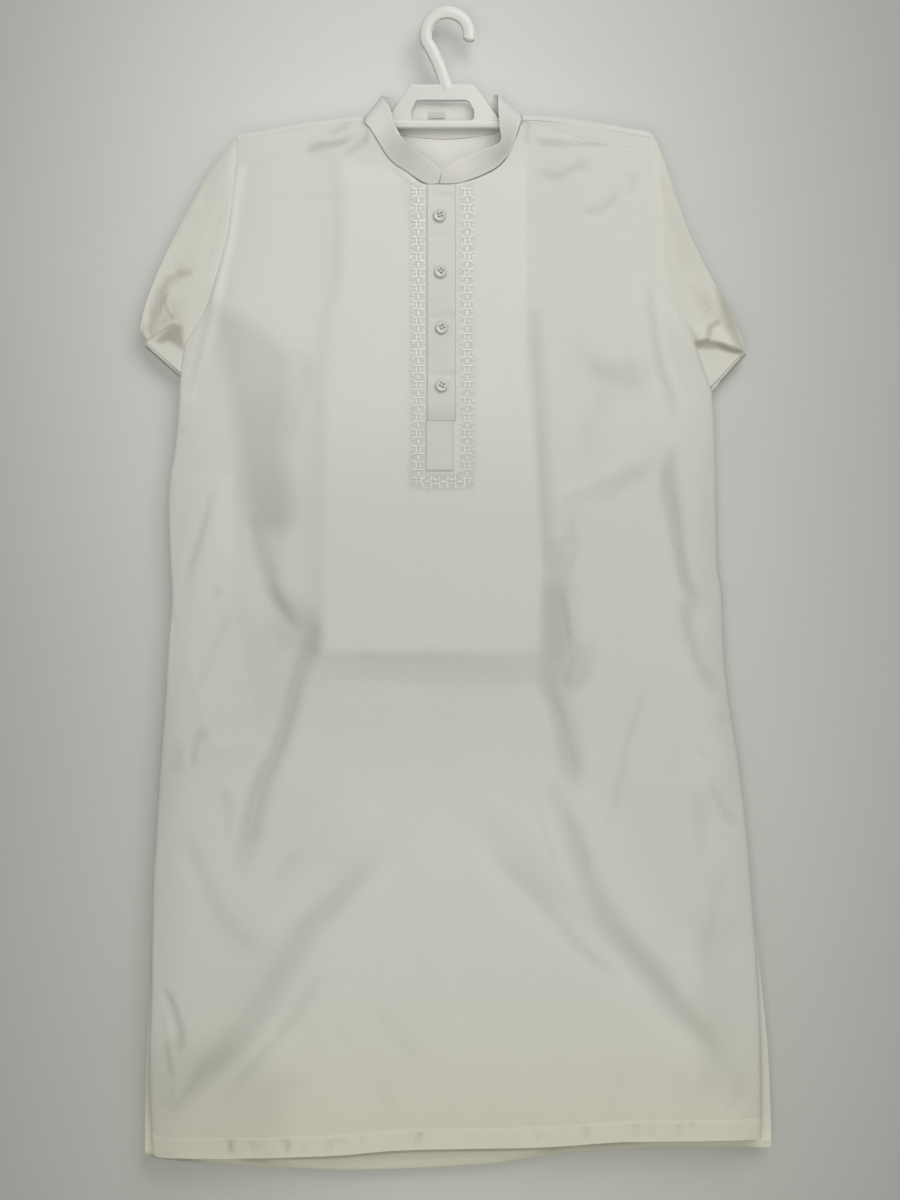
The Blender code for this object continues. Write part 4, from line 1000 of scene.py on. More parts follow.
def sleeve_backing_shade(x, drop):
    """The armhole's seam allowance lightens a band of the sleeve, and painted shade darkens its buckles."""
    left, right = side_edges(drop)
    band = smooth((9 - np.maximum(left - x, x - right)) / 3) * smooth((290 - drop) / 20)
    return 0.67 - 0.06 * (x > 0) + 0.08 * band + in_zones(SLEEVE_SHADE_ZONES, x, drop)


def swung(start, end, angle):
    """From start to end as a half turn goes from 0 to pi."""
    return (end + start) / 2 - (end - start) / 2 * np.cos(angle)


def tucked(distance, depth=0.3, reach=1.3):
    """How far a seam draws the cloth's edge in."""
    return depth * bell(np.maximum(distance, 0) / reach)


def lay_front(u, v):
    drop = mix(150, 1190, v)
    for _ in range(3):
        left, right = side_edges(drop)
        x = mix(left + SEAM_GAP / 2, right - SEAM_GAP / 2, u)
        top = panel_top(x) - 0.15
        drop = mix(top, front_hem(x), v)
    y = hemmed_front_y(x, drop)
    seam = np.minimum(from_edge(x, drop) + 40 * (drop > SLIT_DROP), drop - top)
    return x, y + tucked(seam), drop


def lay_back(u, v):
    drop = mix(BACK_YOKE_SEAM, 1200, v)
    for _ in range(3):
        left, right = side_edges(drop, back=True)
        x = mix(right - SEAM_GAP / 2, left + SEAM_GAP / 2, u)
        drop = mix(BACK_YOKE_SEAM + 0.1, back_hem(x), v)
    y = hemmed_back_y(x, drop)
    seam = np.minimum(from_edge(x, drop, back=True) + 40 * (drop > SLIT_DROP), drop - BACK_YOKE_SEAM)
    return x, y - tucked(seam), drop


class CLOTH_OT_front(bpy.types.Operator):
    """Lay the front panel over its solid, with its creases, pocket edge and turned hem"""
    bl_idname = "kameez.front"
    bl_label = "Front panel"

    def execute(self, context):
        step = context.scene.kameez_cloth.step / MM
        across = even(610, step, finer=((0, 7, 1.4), (7, 45, 2.8), (395, 445, 3.2), (603, 610, 1.4)))
        down = even(1040, step * 1.05, finer=((0, 60, 3.2), (860, 1014, 3.6), (1014, 1040, 1.8)))
        panel = laid_cloth("front_cloth", across, down, lay_front, backed=front_backing_light_shade)
        finished(panel, "white cotton", "cotton", "front_panel")
        return {"FINISHED"}


class CLOTH_OT_back(bpy.types.Operator):
    """Lay the back panel over its solid"""
    bl_idname = "kameez.back"
    bl_label = "Back panel"

    def execute(self, context):
        step = context.scene.kameez_cloth.step / MM * 1.2
        down = even(1000, step, finer=((975, 1000, 1.5),))
        panel = laid_cloth("back_cloth", even(620, step), down, lay_back, backed=back_backing_light_shade)
        finished(panel, "white cotton", "cotton", "back_panel")
        return {"FINISHED"}


# Shares of the yoke's length where its front ends and where its turn over the shoulder ends.
YOKE_FRONT, YOKE_TURN = 0.22, 0.42
YOKE_LEFT, YOKE_RIGHT = -222.0, 214.0


def lay_yoke(u, v):
    """Up from the front seam, over the shoulder and down to the back seam, from right to left."""
    reach = np.array([YOKE_RIGHT, NECK_RIGHT + 0.01, NECK_RIGHT - 0.01, NECK_LEFT + 0.01, NECK_LEFT - 0.01,
                      YOKE_LEFT])
    x0 = np.interp(u, [0, 0.3999, 0.4, 0.6, 0.6001, 1], reach)
    x, drop = x0, np.full(x0.shape, 150.0)
    for _ in range(3):
        ridge = curve(SHOULDER_RIDGE, x, "drop")
        seam = panel_top(x) - 0.15
        inside = (x < NECK_RIGHT) & (x > NECK_LEFT)
        neck = np.where(inside, curve(BACK_NECK, x, "drop"), ridge + RIDGE_RADIUS)
        turn = np.clip((v - YOKE_FRONT) / (YOKE_TURN - YOKE_FRONT), 0, 1)
        front = mix(seam, ridge + RIDGE_RADIUS, v / YOKE_FRONT)
        over = ridge + RIDGE_RADIUS * (1 - np.sin(pi * turn))
        back = mix(neck, BACK_YOKE_SEAM, (v - YOKE_TURN) / (1 - YOKE_TURN))
        drop = np.where(v < YOKE_FRONT, front, np.where(v < YOKE_TURN, over, back))
        left, right = side_edges(drop)
        outward = smooth((abs(x0) - 150) / 50)
        wider = np.where(x0 < 0, left + SEAM_GAP / 2 - YOKE_LEFT, right - SEAM_GAP / 2 - YOKE_RIGHT)
        x = x0 + wider * outward
    near = front_y(x, ridge + RIDGE_RADIUS, bare=True)
    far = back_y(x, ridge + RIDGE_RADIUS, bare=True)
    y = np.where(v < YOKE_FRONT, front_y(x, drop), swung(near, far, pi * turn))
    y = np.where(v >= YOKE_TURN, back_y(x, drop), y)
    front_tuck = tucked(np.minimum(seam - drop, from_edge(x, drop))) * (v < YOKE_FRONT)
    back_tuck = tucked(np.minimum(BACK_YOKE_SEAM - drop, from_edge(x, drop))) * (v >= YOKE_TURN)
    return x, y + front_tuck - back_tuck, drop


def yoke_light_shade(x, drop):
    """Painted light brightens the yoke seen through the neck; painted shade darkens the wrinkles by the
    collar.
    """
    # Painted light where the yoke is seen through the neck.
    inside = smooth((85 - abs(x + 4)) / 30) * smooth((200 - drop) / 30)
    # Painted shade in the crease troughs; the right side is a little darker.
    return mix(0.72 - 0.08 * (x > 0) - 0.5 * in_troughs(FRONT_CREASES, x, drop), 1.0, inside)


class CLOTH_OT_yoke(bpy.types.Operator):
    """Lay the yoke from the front seams over both shoulders to the back seam"""
    bl_idname = "kameez.yoke"
    bl_label = "Shoulder yoke"

    def execute(self, context):
        arm = 0.4 * even(135, 4.0)
        middle = 0.4 + 0.2 * np.linspace(0, 1, 40)
        across = np.concatenate([arm, middle, 1 - arm[::-1]])
        down = np.concatenate([YOKE_FRONT * even(24, 2.4)[:-1], np.linspace(YOKE_FRONT, YOKE_TURN, 17)[:-1],
                               YOKE_TURN + (1 - YOKE_TURN) * even(96, 4.0)])
        neck_row = int(np.searchsorted(down, YOKE_TURN - 1e-9))
        first, last = len(arm) - 1, len(arm) + len(middle) - 1
        piece = laid_cloth("yoke_cloth", across, down, lay_yoke, backed=yoke_light_shade,
                           drop_cells=lambda c, r: r < neck_row and first <= c <= last)
        finished(piece, "white cotton", "cotton", "shoulder_yoke")
        return {"FINISHED"}


# Pulls and buckles of the sleeves. A wide ridge with one sharp side overhangs the fold at the elbow.
LEFT_PULLS = (
    Crease(((-268, 272), (-284, 272), (-300, 284), (-309, 304), (-313, 328)), 11, 8, 2.4),
    Crease(((-298, 288), (-300, 302), (-290, 316)), 5, 4, -1.0),
    Crease(((-293, 296), (-291, 308), (-285, 316)), 3, 3, 0.9),
    Crease(((-324, 342), (-303, 328), (-284, 318)), 2.2, 13, -4.2),
    Crease(((-262, 200), (-286, 250), (-300, 300)), 10, 10, 0.7),
    Crease(((-281, 336), (-262, 327)), 3, 3, 0.8),
    Crease(((-230, 180), (-246, 225), (-256, 280)), 6, 6, 0.9),
    Crease(((-248, 168), (-262, 200)), 5, 5, 0.7),
)
RIGHT_PULLS = (
    Crease(((252, 345), (276, 338), (296, 346), (318, 352)), 2.2, 12, -4.2),
    Crease(((289, 321), (280, 328), (277, 338)), 4, 4, 2.4),
    Crease(((270, 300), (275, 312), (272, 324)), 5, 5, 1.2),
    Crease(((224, 176), (246, 190), (251, 200)), 4, 4, 1.0),
    Crease(((262, 254), (286, 276)), 5, 5, 0.9),
    Crease(((268, 295), (273, 312)), 7, 7, 1.0),
    Crease(((231, 292), (241, 314), (252, 338)), 3, 3, 0.8),
    Crease(((228, 205), (238, 240), (250, 275)), 6, 6, 0.7),
)


# Shares of an upper arm's width that lie flat on either side, and that turn round its outer edge.
ARM_FLAT, ARM_TURN = 0.46, 0.08


def lay_upper_arm(arms, side, pulls):
    def lay(u, v):
        seam_drop = mix(arms[0].seam_drop, arms[-1].seam_drop, v)
        column = "left" if side < 0 else "right"
        seam_x = curve(BODY, seam_drop, column) - side * SEAM_GAP / 2
        edge_x, edge_drop = curve(arms, seam_drop, "edge_x"), curve(arms, seam_drop, "edge_drop")
        near, far = front_y(seam_x, seam_drop, bare=True), back_y(seam_x, seam_drop, bare=True)
        top = smooth(v * 14)
        near, far = mix(near * 0.5, near, top), mix(far * 0.5, far, top)
        edge_near = mix(-1.2, ARM_EDGE_FRONT, smooth(v))
        edge_far = edge_near + ARM_EDGE_BACK - ARM_EDGE_FRONT
        across = u if side > 0 else 1 - u
        share = np.where(across < 0.5, across, 1 - across) / ARM_FLAT
        turned = np.clip((across - ARM_FLAT) / ARM_TURN, 0, 1)
        flat = np.clip(share, 0, 1)
        radius = (edge_far - edge_near) / 2
        tip = np.where(share > 1, np.sin(pi * turned), 0) * radius * 0.8
        near_y = mix(near, edge_near, smooth(flat))
        far_y = mix(far, edge_far, smooth(flat))
        y = np.where(across > 1 - ARM_FLAT, far_y, swung(edge_near, edge_far, pi * turned))
        y = np.where(across < ARM_FLAT, near_y, y)
        span = np.maximum(np.hypot(edge_x - seam_x, edge_drop - seam_drop), 1e-6)
        shrink = 1 - np.minimum(0.8 * radius / span, 0.5)
        reach = flat * shrink + tip / span
        x = mix(seam_x, edge_x, reach)
        drop = mix(seam_drop, edge_drop, reach)
        soft = smooth(flat * 8) * smooth((1.03 - flat) * 8) * smooth(v * 8)
        puff = creased(pulls, x, drop) + ripple(x, drop, 31 + side, 60, 0.4)
        seam = tucked(flat * span)
        y = y + np.where(across < 0.5, puff * soft + seam, -0.5 * np.maximum(puff, 0) * soft - seam)
        return x, y, drop
    return lay


class CLOTH_OT_sleeves(bpy.types.Operator):
    """Lay both upper arms, from the front of the armhole round the outer edge to its back"""
    bl_idname = "kameez.sleeves"
    bl_label = "Upper arms"

    def execute(self, context):
        half = ARM_FLAT * even(85, 2.4)
        turn = np.linspace(ARM_FLAT, 1 - ARM_FLAT, 9)[1:-1]
        across = np.concatenate([half, turn, 1 - half[::-1]])
        arms_to_lay = (("upper_arm_left_cloth", "sleeve_left", LEFT_ARM, -1, LEFT_PULLS, 0.026),
                       ("upper_arm_right_cloth", "sleeve_right", RIGHT_ARM, 1, RIGHT_PULLS, 0.0198))
        for name, node, arms, side, pulls, area in arms_to_lay:
            lay = lay_upper_arm(arms, side, pulls)
            piece = laid_cloth(name, across, even(240, 2.4), lay, backed=sleeve_backing_shade)
            finished(piece, "sleeve cotton", "cotton", node)
        return {"FINISHED"}


# Share of a forearm's length that bends round the elbow, and the part of each layer that lies flat.
BEND_SHARE = 0.05
LAYER_FLAT = 0.94


def lay_forearm(arm):
    """The tube of a forearm: its far layer across, round its edge, the near layer back, and round again."""
    cx, cd = arm.corner
    fx, fd = arm.fold
    ax, ad = arm.axis
    nx, nd = arm.inward
    cuff = (cx + nx * BEND + ax * arm.length, cd + nd * BEND + ad * arm.length)
    down = (-ad, ax) if arm.side < 0 else (ad, -ax)
    low, high = 0.02, 0.98

    def flat(width_share, length_share):
        elbow, end = ELBOW_WIDTH * width_share, CUFF_WIDTH * width_share
        return (mix(cx + fx * elbow + nx * BEND, cuff[0] + down[0] * end, length_share),
                mix(cd + fd * elbow + nd * BEND, cuff[1] + down[1] * end, length_share))

    def lay(u, v):
        run = u if arm.side < 0 else 1 - u
        far = run < 0.5
        side_share = np.where(far, run, run - 0.5) * 2
        flat_part = np.clip(side_share / LAYER_FLAT, 0, 1)
        turned = np.clip((side_share - LAYER_FLAT) / (1 - LAYER_FLAT), 0, 1)
        width_share = np.where(far, mix(low, high, flat_part), mix(high, low, flat_part))
        length_share = np.clip((v - BEND_SHARE) / (1 - BEND_SHARE), 0, 1)
        angle = pi * np.clip(v / BEND_SHARE, 0, 1)
        x, drop = flat(width_share, length_share)
        skin = skin_y(x, drop)
        lift = arm.lift * smooth((x - arm.lift_from) / 45) if arm.lift else 0.0
        reach = ELBOW_WIDTH * width_share
        hidden = smooth((reach - (ARMHOLE_REACH - 18)) / 11)
        down_arm = np.clip(reach / ARMHOLE_REACH, 0, 1)
        far_before = mix(mix(ARM_EDGE_FRONT, 1.4, down_arm), skin + 0.5, hidden)
        near_before = mix(mix(ARM_EDGE_BACK, 4.2, down_arm), skin + 3.2, hidden)
        far_after, near_after = skin + FOREARM_FAR + lift, skin + FOREARM_NEAR + lift
        edge = np.sin(pi * turned) * 1.9 * np.where(far, 1, -1)
        blend = (1 - np.cos(pi * turned)) / 2
        weight = np.where(turned > 0, np.where(far, blend, 1 - blend), np.where(far, 0.0, 1.0))
        y = mix(swung(far_before, far_after, angle), swung(near_before, near_after, angle), weight)
        out = mix(BEND, BEND_INNER, weight) * np.sin(angle)
        edge_x = mix(fx, down[0], length_share) * edge
        edge_d = mix(fd, down[1], length_share) * edge
        pulls = ripple(x, drop, 41 + arm.side, 70, 0.5) + 0.9 * bell((length_share - 0.09) / 0.05)
        pulls = pulls * smooth(length_share * 12) * np.where(turned > 0, 0, 1) * np.where(far, 1, 0.3)
        cuff_step = 0.4 * smooth((length_share - 0.955) / 0.006) * np.where(far, 1, -1)
        return x - nx * out + edge_x, y - pulls + cuff_step * (turned <= 0), drop - nd * out + edge_d
    return lay


# Painted shade along the thin lines where the forearms' folds shade themselves.
def forearm_shade(x, drop):
    return 0.75 + in_zones(FOLD_SHADE_LINES, x, drop)


class CLOTH_OT_forearms(bpy.types.Operator):
    """Lay both forearms, folded back at the elbow and lying behind the back"""
    bl_idname = "kameez.forearms"
    bl_label = "Forearms"

    def execute(self, context):
        flat = LAYER_FLAT / 2
        side = np.concatenate([flat * even(180, 4.2), flat + (0.5 - flat) * np.arange(1, 6) / 6])
        across = np.concatenate([side, 0.5 + side, [1.0]])
        down = np.concatenate([np.linspace(0, BEND_SHARE, 13)[:-1],
                               BEND_SHARE + (1 - BEND_SHARE) * np.linspace(0, 1, 84)])
        for name, node, arm in (("forearm_left_cloth", "forearm_left", LEFT_FOREARM),
                                ("forearm_right_cloth", "forearm_right", RIGHT_FOREARM)):
            piece = laid_cloth(name, across, down, lay_forearm(arm), backed=forearm_shade, tube=True)
            finished(piece, "sleeve cotton", "cotton", node)
        return {"FINISHED"}


# Length and height of the collar band, and the radius of its corners at the throat.
COLLAR_RUN, COLLAR_HEIGHT, COLLAR_CORNER = 430, 26, 6


def collar_facing(y):
    """1 where the band faces the front and -1 where it faces the back."""
    return np.clip(-y / 6, -1, 1)


def collar_place(u, v):
    """A place on the band: u runs round the neck and v down from its top edge to its seam."""
    line = through(COLLAR, steps=12)
    ends = np.clip(np.minimum(u, 1 - u) * COLLAR_RUN / COLLAR_CORNER, 0, 1)
    cut = COLLAR_CORNER * (1 - np.sqrt(1 - (1 - ends) ** 2)) / COLLAR_HEIGHT
    v = cut + v * (1 - cut)
    run = np.concatenate([[0], np.cumsum(np.hypot(*np.diff(line[:, :2], axis=0).T) + 1e-3
                                         + abs(np.diff(line[:, 2])))])
    run /= run[-1]
    seam_x, seam_drop, seam_y, top_x, top_drop, top_y = [np.interp(u, run, line[:, k]) for k in range(6)]
    x, drop, y = mix(top_x, seam_x, v), mix(top_drop, seam_drop, v), mix(top_y, seam_y, v)
    return x, y - 0.6 * np.sin(pi * v) * collar_facing(y), drop


def lay_collar(u, v):
    x, y, drop = collar_place(u, v)
    wrinkle = 0.35 * np.sin(v * 9 + 5 * u) * bell((u - 0.19) / 0.05)
    sunk = tucked((1 - v) * 24, 0.15, 0.8) + tucked(v * 24, 0.25, 1.0)
    return x, y + collar_facing(y) * (sunk + wrinkle), drop


Spot = namedtuple("Spot", "x drop width height amount")
# Painted shade at the band's lower right and under its left front edge, and painted light at two brighter
# places.
COLLAR_LIGHT_SHADE_SPOTS = (Spot(60, 140, 20, 26, -0.50), Spot(-44, 140, 22, 24, -0.30), Spot(-78, 116, 16, 18, 0.3),
                Spot(12, 158, 14, 12, 0.25))


def collar_light_shade(x, drop):
    """Painted shade where the band turns away from the light at its lower right and under its left front
    edge.
    """
    # Painted light on the back of the collar under the hanger's bar.
    tone = 0.82 + in_zones(COLLAR_BAR_LIGHT, x, drop)
    for spot in COLLAR_LIGHT_SHADE_SPOTS:
        tone = tone + spot.amount * bell((x - spot.x) / spot.width) * bell((drop - spot.drop) / spot.height)
    return tone


class CLOTH_OT_collar(bpy.types.Operator):
    """Stand the collar band round the neck"""
    bl_idname = "kameez.collar"
    bl_label = "Collar band"

    def execute(self, context):
        piece = laid_cloth("collar_cloth", even(420, 2.2), even(COLLAR_HEIGHT, 1.6), lay_collar,
                           backed=collar_light_shade, thickness=COLLAR_CLOTH)
        finished(piece, "stiffened cotton", "cotton", "collar_band")
        return {"FINISHED"}


def placket_y(x, drop):
    return front_y(x, drop) - (CLOTH + SEAM_GAP)


# The box below the placket is a little to its left and narrower, and stands back a little.
BOX_LEFT, BOX_RIGHT, BOX_BACK = PLACKET_LEFT - 1.2, PLACKET_RIGHT - 2.4, 0.25
PLACKET_WAVES = (
    Crease(((-21, 190), (9, 190)), 4, 4, 0.9),
    Crease(((-21, 232), (9, 230)), 5, 5, 0.7),
    Crease(((-21, 319), (9, 315)), 4, 4, 1.0),
    Crease(((-21, 378), (9, 377)), 4, 4, 0.9),
)


def from_strip_edge(x):
    return np.minimum(x - PLACKET_LEFT, PLACKET_RIGHT - x)


def from_box_edge(x, drop):
    return np.minimum(np.minimum(x - BOX_LEFT, BOX_RIGHT - x), PLACKET_BOTTOM - drop)


def strip_shade(x, drop):
    """Painted shade darkens the strip at its edges, under and beside its buttons and towards its lower end.
    """
    shade = 0.25 * smooth((drop - 404) / 20) + 0.4 * smooth((1.7 - from_strip_edge(x)) / 0.9)
    for place in BUTTON_PLACES:
        away_from_button = np.hypot(x - place.x + 0.7, drop - place.drop - 1.4)
        shade = shade + 0.55 * smooth((7.9 - away_from_button) / 1.6)
    return 0.85 - 0.12 * smooth((drop - 200) / 150) - shade


# Painted shade at the box's edges and towards its lower end.
def box_shade(x, drop):
    return 0.66 - 0.10 * smooth((drop - 470) / 8) - 0.3 * smooth((2.2 - from_box_edge(x, drop)) / 1.4)


def lay_strip(u, v):
    x, drop = mix(PLACKET_LEFT, PLACKET_RIGHT, u), mix(PLACKET_TOP, PLACKET_STEP, v)
    waves = creased(PLACKET_WAVES, x, drop)
    return x, placket_y(x, drop) + waves + tucked(from_strip_edge(x), 0.25, 0.8), drop


def lay_box(u, v):
    x, drop = mix(BOX_LEFT, BOX_RIGHT, u), mix(PLACKET_STEP + SEAM_GAP, PLACKET_BOTTOM, v)
    return x, placket_y(x, drop) + BOX_BACK + tucked(from_box_edge(x, drop), 0.25, 0.8), drop


class CLOTH_OT_placket(bpy.types.Operator):
    """Lay the button placket and the plain box that ends it"""
    bl_idname = "kameez.placket"
    bl_label = "Placket"

    def execute(self, context):
        strip = laid_cloth("placket_cloth", even(30, 1.25), even(247, 1.5), lay_strip, backed=strip_shade)
        finished(strip, "stiffened cotton", "cotton", "placket")
        box = laid_cloth("placket_end_cloth", even(29, 1.4), even(52, 1.4), lay_box, backed=box_shade)
        finished(box, "stiffened cotton", "cotton", "placket_end")
        return {"FINISHED"}


class CLOTH_OT_pocket(bpy.types.Operator):
    """Hang the side pocket's bag behind the front"""
    bl_idname = "kameez.pocket"
    bl_label = "Pocket bag"

    def execute(self, context):
        def lay(u, v):
            drop = mix(POCKET[0].drop, POCKET[-1].drop, v)
            left, right = sides(POCKET, drop)
            x = mix(np.maximum(left, side_edges(drop)[0] + 8), right, u)
            return x, front_y(x, drop) + CLOTH + 1.2, drop

        piece = laid_cloth("pocket_cloth", even(60, 4.0), even(288, 5.0), lay)
        finished(piece, "white cotton", "cotton", "side_pocket_bag")
        return {"FINISHED"}


# The folded strip: its layers, the rail that it hangs over and where its ends are.
SHALWAR_LAYERS = 4
LAYER_PITCH = 1.25
LAYERS_ABOVE = (SHALWAR_LAYERS - 1) * LAYER_PITCH
RAIL_DROP, RAIL_RADIUS = 171.0, 4.5
FRONT_RUN, BACK_RUN, RAIL_RUN = 662.0 - RAIL_DROP, 650.0 - RAIL_DROP, pi * 7
# Share of a layer that is taken up at each side by half of its turn into the next one.
LAYER_TURN = 0.04


def lay_shalwar(u, v):
    along = u * SHALWAR_LAYERS
    layer = np.minimum(np.floor(along), SHALWAR_LAYERS - 1)
    part = along - layer
    flat_part = np.clip((part - LAYER_TURN) / (1 - 2 * LAYER_TURN), 0, 1)
    into, out_of = (part - 1 + LAYER_TURN) / (2 * LAYER_TURN), (part + LAYER_TURN) / (2 * LAYER_TURN) - 1
    turn = np.where(part > 1 - LAYER_TURN, into, np.where(part < LAYER_TURN, out_of, 0))
    share = np.where(layer % 2 == 0, flat_part, 1 - flat_part)
    radius = RAIL_RADIUS + LAYERS_ABOVE - np.clip((layer + turn) * LAYER_PITCH, 0, LAYERS_ABOVE)
    run = v * (FRONT_RUN + RAIL_RUN + BACK_RUN)
    angle = np.clip((run - FRONT_RUN) / RAIL_RUN, 0, 1) * pi
    below = np.maximum(FRONT_RUN - run, 0) + np.maximum(run - FRONT_RUN - RAIL_RUN, 0)
    drop = RAIL_DROP + below - radius * np.sin(angle)
    left, right = sides(SHALWAR, drop)
    out = np.sin(pi * np.clip(abs(turn), 0, 1)) * 0.6 * np.where(share > 0.5, 1, -1)
    return mix(left + 3.4, right - 3.4, share) + out, -radius * np.cos(angle), drop


class CLOTH_OT_shalwar(bpy.types.Operator):
    """Fold the shalwar into a strip of four layers and hang it over the rail"""
    bl_idname = "kameez.shalwar"
    bl_label = "Folded shalwar"

    def execute(self, context):
        layer = np.concatenate([[0.0, 0.02], np.linspace(LAYER_TURN, 1 - LAYER_TURN, 16), [0.98]])
        across = np.concatenate([(k + layer) / SHALWAR_LAYERS for k in range(SHALWAR_LAYERS)] + [[1.0]])
        down = np.concatenate([np.linspace(0, FRONT_RUN, 40)[:-1],
                               FRONT_RUN + np.linspace(0, RAIL_RUN, 15)[:-1],
                               FRONT_RUN + RAIL_RUN + np.linspace(0, BACK_RUN, 40)])
        piece = laid_cloth("shalwar_cloth", across, down / down[-1], lay_shalwar, thickness=0.9)
        finished(piece, "white cotton", "cotton", "shalwar")
        return {"FINISHED"}


# Half of a sewing thread's thickness, and how far its middle lies off the cloth.
THREAD_HALF = 0.22
THREAD_LIFT = 0.1


def sewing_bars(name, bars, look, round_sides=6, rings=5):
    """Many short threads in one mesh. A bar is (x, y, drop, angle, half length, half width, half height)."""
    pattern = made_by(bpy.ops.mesh.primitive_uv_sphere_add, "bar_pattern", segments=round_sides,
                      ring_count=rings, radius=1)
    points = np.array([vertex.co for vertex in pattern.data.vertices])
    faces = [tuple(face.vertices) for face in pattern.data.polygons]
    bpy.ops.object.delete()
    bars = np.array(bars, float)
    # The sphere's poles lie along the thread.
    along = points[None, :, 2] * bars[:, 4, None]
    aside = points[None, :, 0] * bars[:, 5, None]
    up = points[None, :, 1] * bars[:, 6, None]
    ca, sa = np.cos(bars[:, 3, None]), np.sin(bars[:, 3, None])
    x = bars[:, 0, None] + along * ca - aside * sa
    drop = bars[:, 2, None] + along * sa + aside * ca
    vertices = (np.stack([x, bars[:, 1, None] + up, -drop], axis=2) * MM).reshape(-1, 3)
    count = len(points)
    all_faces = [tuple(v + k * count for v in face) for k in range(len(bars)) for face in faces]
    mesh = bpy.data.meshes.new(name)
    mesh.from_pydata(vertices.tolist(), [], all_faces)
    piece = added(name, mesh)
    edit_all(piece, bpy.ops.mesh.normals_make_consistent, inside=False)
    bpy.ops.object.shade_smooth()
    finished(piece, look, "cotton")


def run_of_stitches(line, pitch, depth):
    """Stitches along a line of (x, drop) points, laid on a face whose depth is given."""
    line = np.array(line, float)
    steps = np.hypot(*np.diff(line, axis=0).T)
    run = np.concatenate([[0], np.cumsum(steps)])
    places = np.arange(pitch / 2, run[-1], pitch)
    x, drop = np.interp(places, run, line[:, 0]), np.interp(places, run, line[:, 1])
    ahead_x, ahead_d = np.interp(places + 0.5, run, line[:, 0]), np.interp(places + 0.5, run, line[:, 1])
    angle = np.arctan2(ahead_d - drop, ahead_x - x)
    y = depth(x, drop)
    y = y + THREAD_LIFT * np.where(y > 0, 1, -1)
    return [(*place, pitch * 0.36, THREAD_HALF, THREAD_HALF) for place in zip(x, y, drop, angle)]


def stitches_at(x, y, drop):
    """A stitch at each place but the last, turned towards the next one."""
    angle = np.arctan2(np.diff(drop), np.diff(x))
    return [(*place, 1.0, THREAD_HALF, THREAD_HALF) for place in zip(x, y, drop, angle)]


class CLOTH_OT_stitching(bpy.types.Operator):
    """Sew the hems, the seams, the placket, the pocket and the cuffs"""
    bl_idname = "kameez.stitching"
    bl_label = "Stitching"

    def execute(self, context):
        pitch = context.scene.kameez_cloth.stitch / MM
        hem_line = [(x, front_hem(x) - HEM_HEIGHT) for x in np.linspace(-306, 326, 120)]
        stitches = run_of_stitches(hem_line, pitch, hemmed_front_y)
        pocket_line = [(mix(-286, -227, t), 619) for t in np.linspace(0, 1, 10)]
        stitches += run_of_stitches(pocket_line, pitch, front_y)
        for x0, x1 in ((-219, -94), (84, 210)):
            seam = [(x, panel_top(x) - 2.0) for x in np.linspace(x0, x1, 40)]
            stitches += run_of_stitches(seam, pitch, front_y)
        for x in (PLACKET_LEFT + 2, PLACKET_RIGHT - 2):
            stitches += run_of_stitches([(x, PLACKET_TOP + 2), (x, PLACKET_STEP - 2)], pitch, placket_y)
        box = [(BOX_LEFT + 2, PLACKET_STEP + 3), (BOX_LEFT + 2, PLACKET_BOTTOM - 2),
               (BOX_RIGHT - 2, PLACKET_BOTTOM - 2), (BOX_RIGHT - 2, PLACKET_STEP + 3)]
        stitches += run_of_stitches(box, pitch, lambda x, drop: placket_y(x, drop) + BOX_BACK)
        sewing_bars("front_stitching", stitches, "sewing thread")
        hem_line = [(x, back_hem(x) - HEM_HEIGHT) for x in np.linspace(-316, 338, 120)]
        stitches = run_of_stitches(hem_line, pitch, hemmed_back_y)
        seam = [(x, BACK_YOKE_SEAM - 2.0) for x in np.linspace(-226, 218, 60)]
        stitches += run_of_stitches(seam, pitch, back_y)
        sewing_bars("back_stitching", stitches, "sewing thread")
        collar = []
        for v in (0.09, 0.91):
            us = np.linspace(0.004, 0.996, 150)
            x, y, drop = lay_collar(us, np.full(us.shape, v))
            facing = collar_facing(y)
            sewn = zip(stitches_at(x, y - facing * THREAD_LIFT, drop), abs(facing) > 0.9)
            collar += [stitch for stitch, straight in sewn if straight]
        sewing_bars("collar_stitching", collar, "sewing thread")
        cuffs = []
        for arm in (LEFT_FOREARM, RIGHT_FOREARM):
            us = np.linspace(0.01, 0.46, 52)
            us = us if arm.side < 0 else 1 - us
            x, y, drop = lay_forearm(arm)(us, np.full(us.shape, 0.952))
            cuffs += stitches_at(x, y + THREAD_LIFT, drop)
        sewing_bars("cuff_stitching", cuffs, "sewing thread")
        return {"FINISHED"}


# The trim's repeat, in millimetres from its core line. Aside is outwards from the placket, and along runs
# with it.
BAND_PITCH, BAND_START, BAND_REPEATS = 16.87, 177.6, 19
FOOT_PITCH, FOOT_START, FOOT_REPEATS = 17.2, -21.3, 3
LEFT_CORE, RIGHT_CORE, BOTTOM_CORE = -30.4, 20.7, 489.5
TRIM_HALF_HEIGHT, TRIM_LIFT = 0.75, 0.2
Stroke = namedtuple("Stroke", "aside along half_length half_width turn")
SPINDLE = (Stroke(0, 0, 2.9, 1.1, 90),)
RING = (Stroke(-2.2, 8.5, 2.7, 0.85, 90), Stroke(2.2, 8.5, 2.7, 0.85, 90))
BARS = (Stroke(3.2, -4.5, 3.1, 0.85, 0), Stroke(3.2, 4.5, 3.1, 0.85, 0))
TIES = (Stroke(5.2, 8.6, 1.0, 0.5, 90), Stroke(7.4, 8.6, 0.5, 0.9, 0))


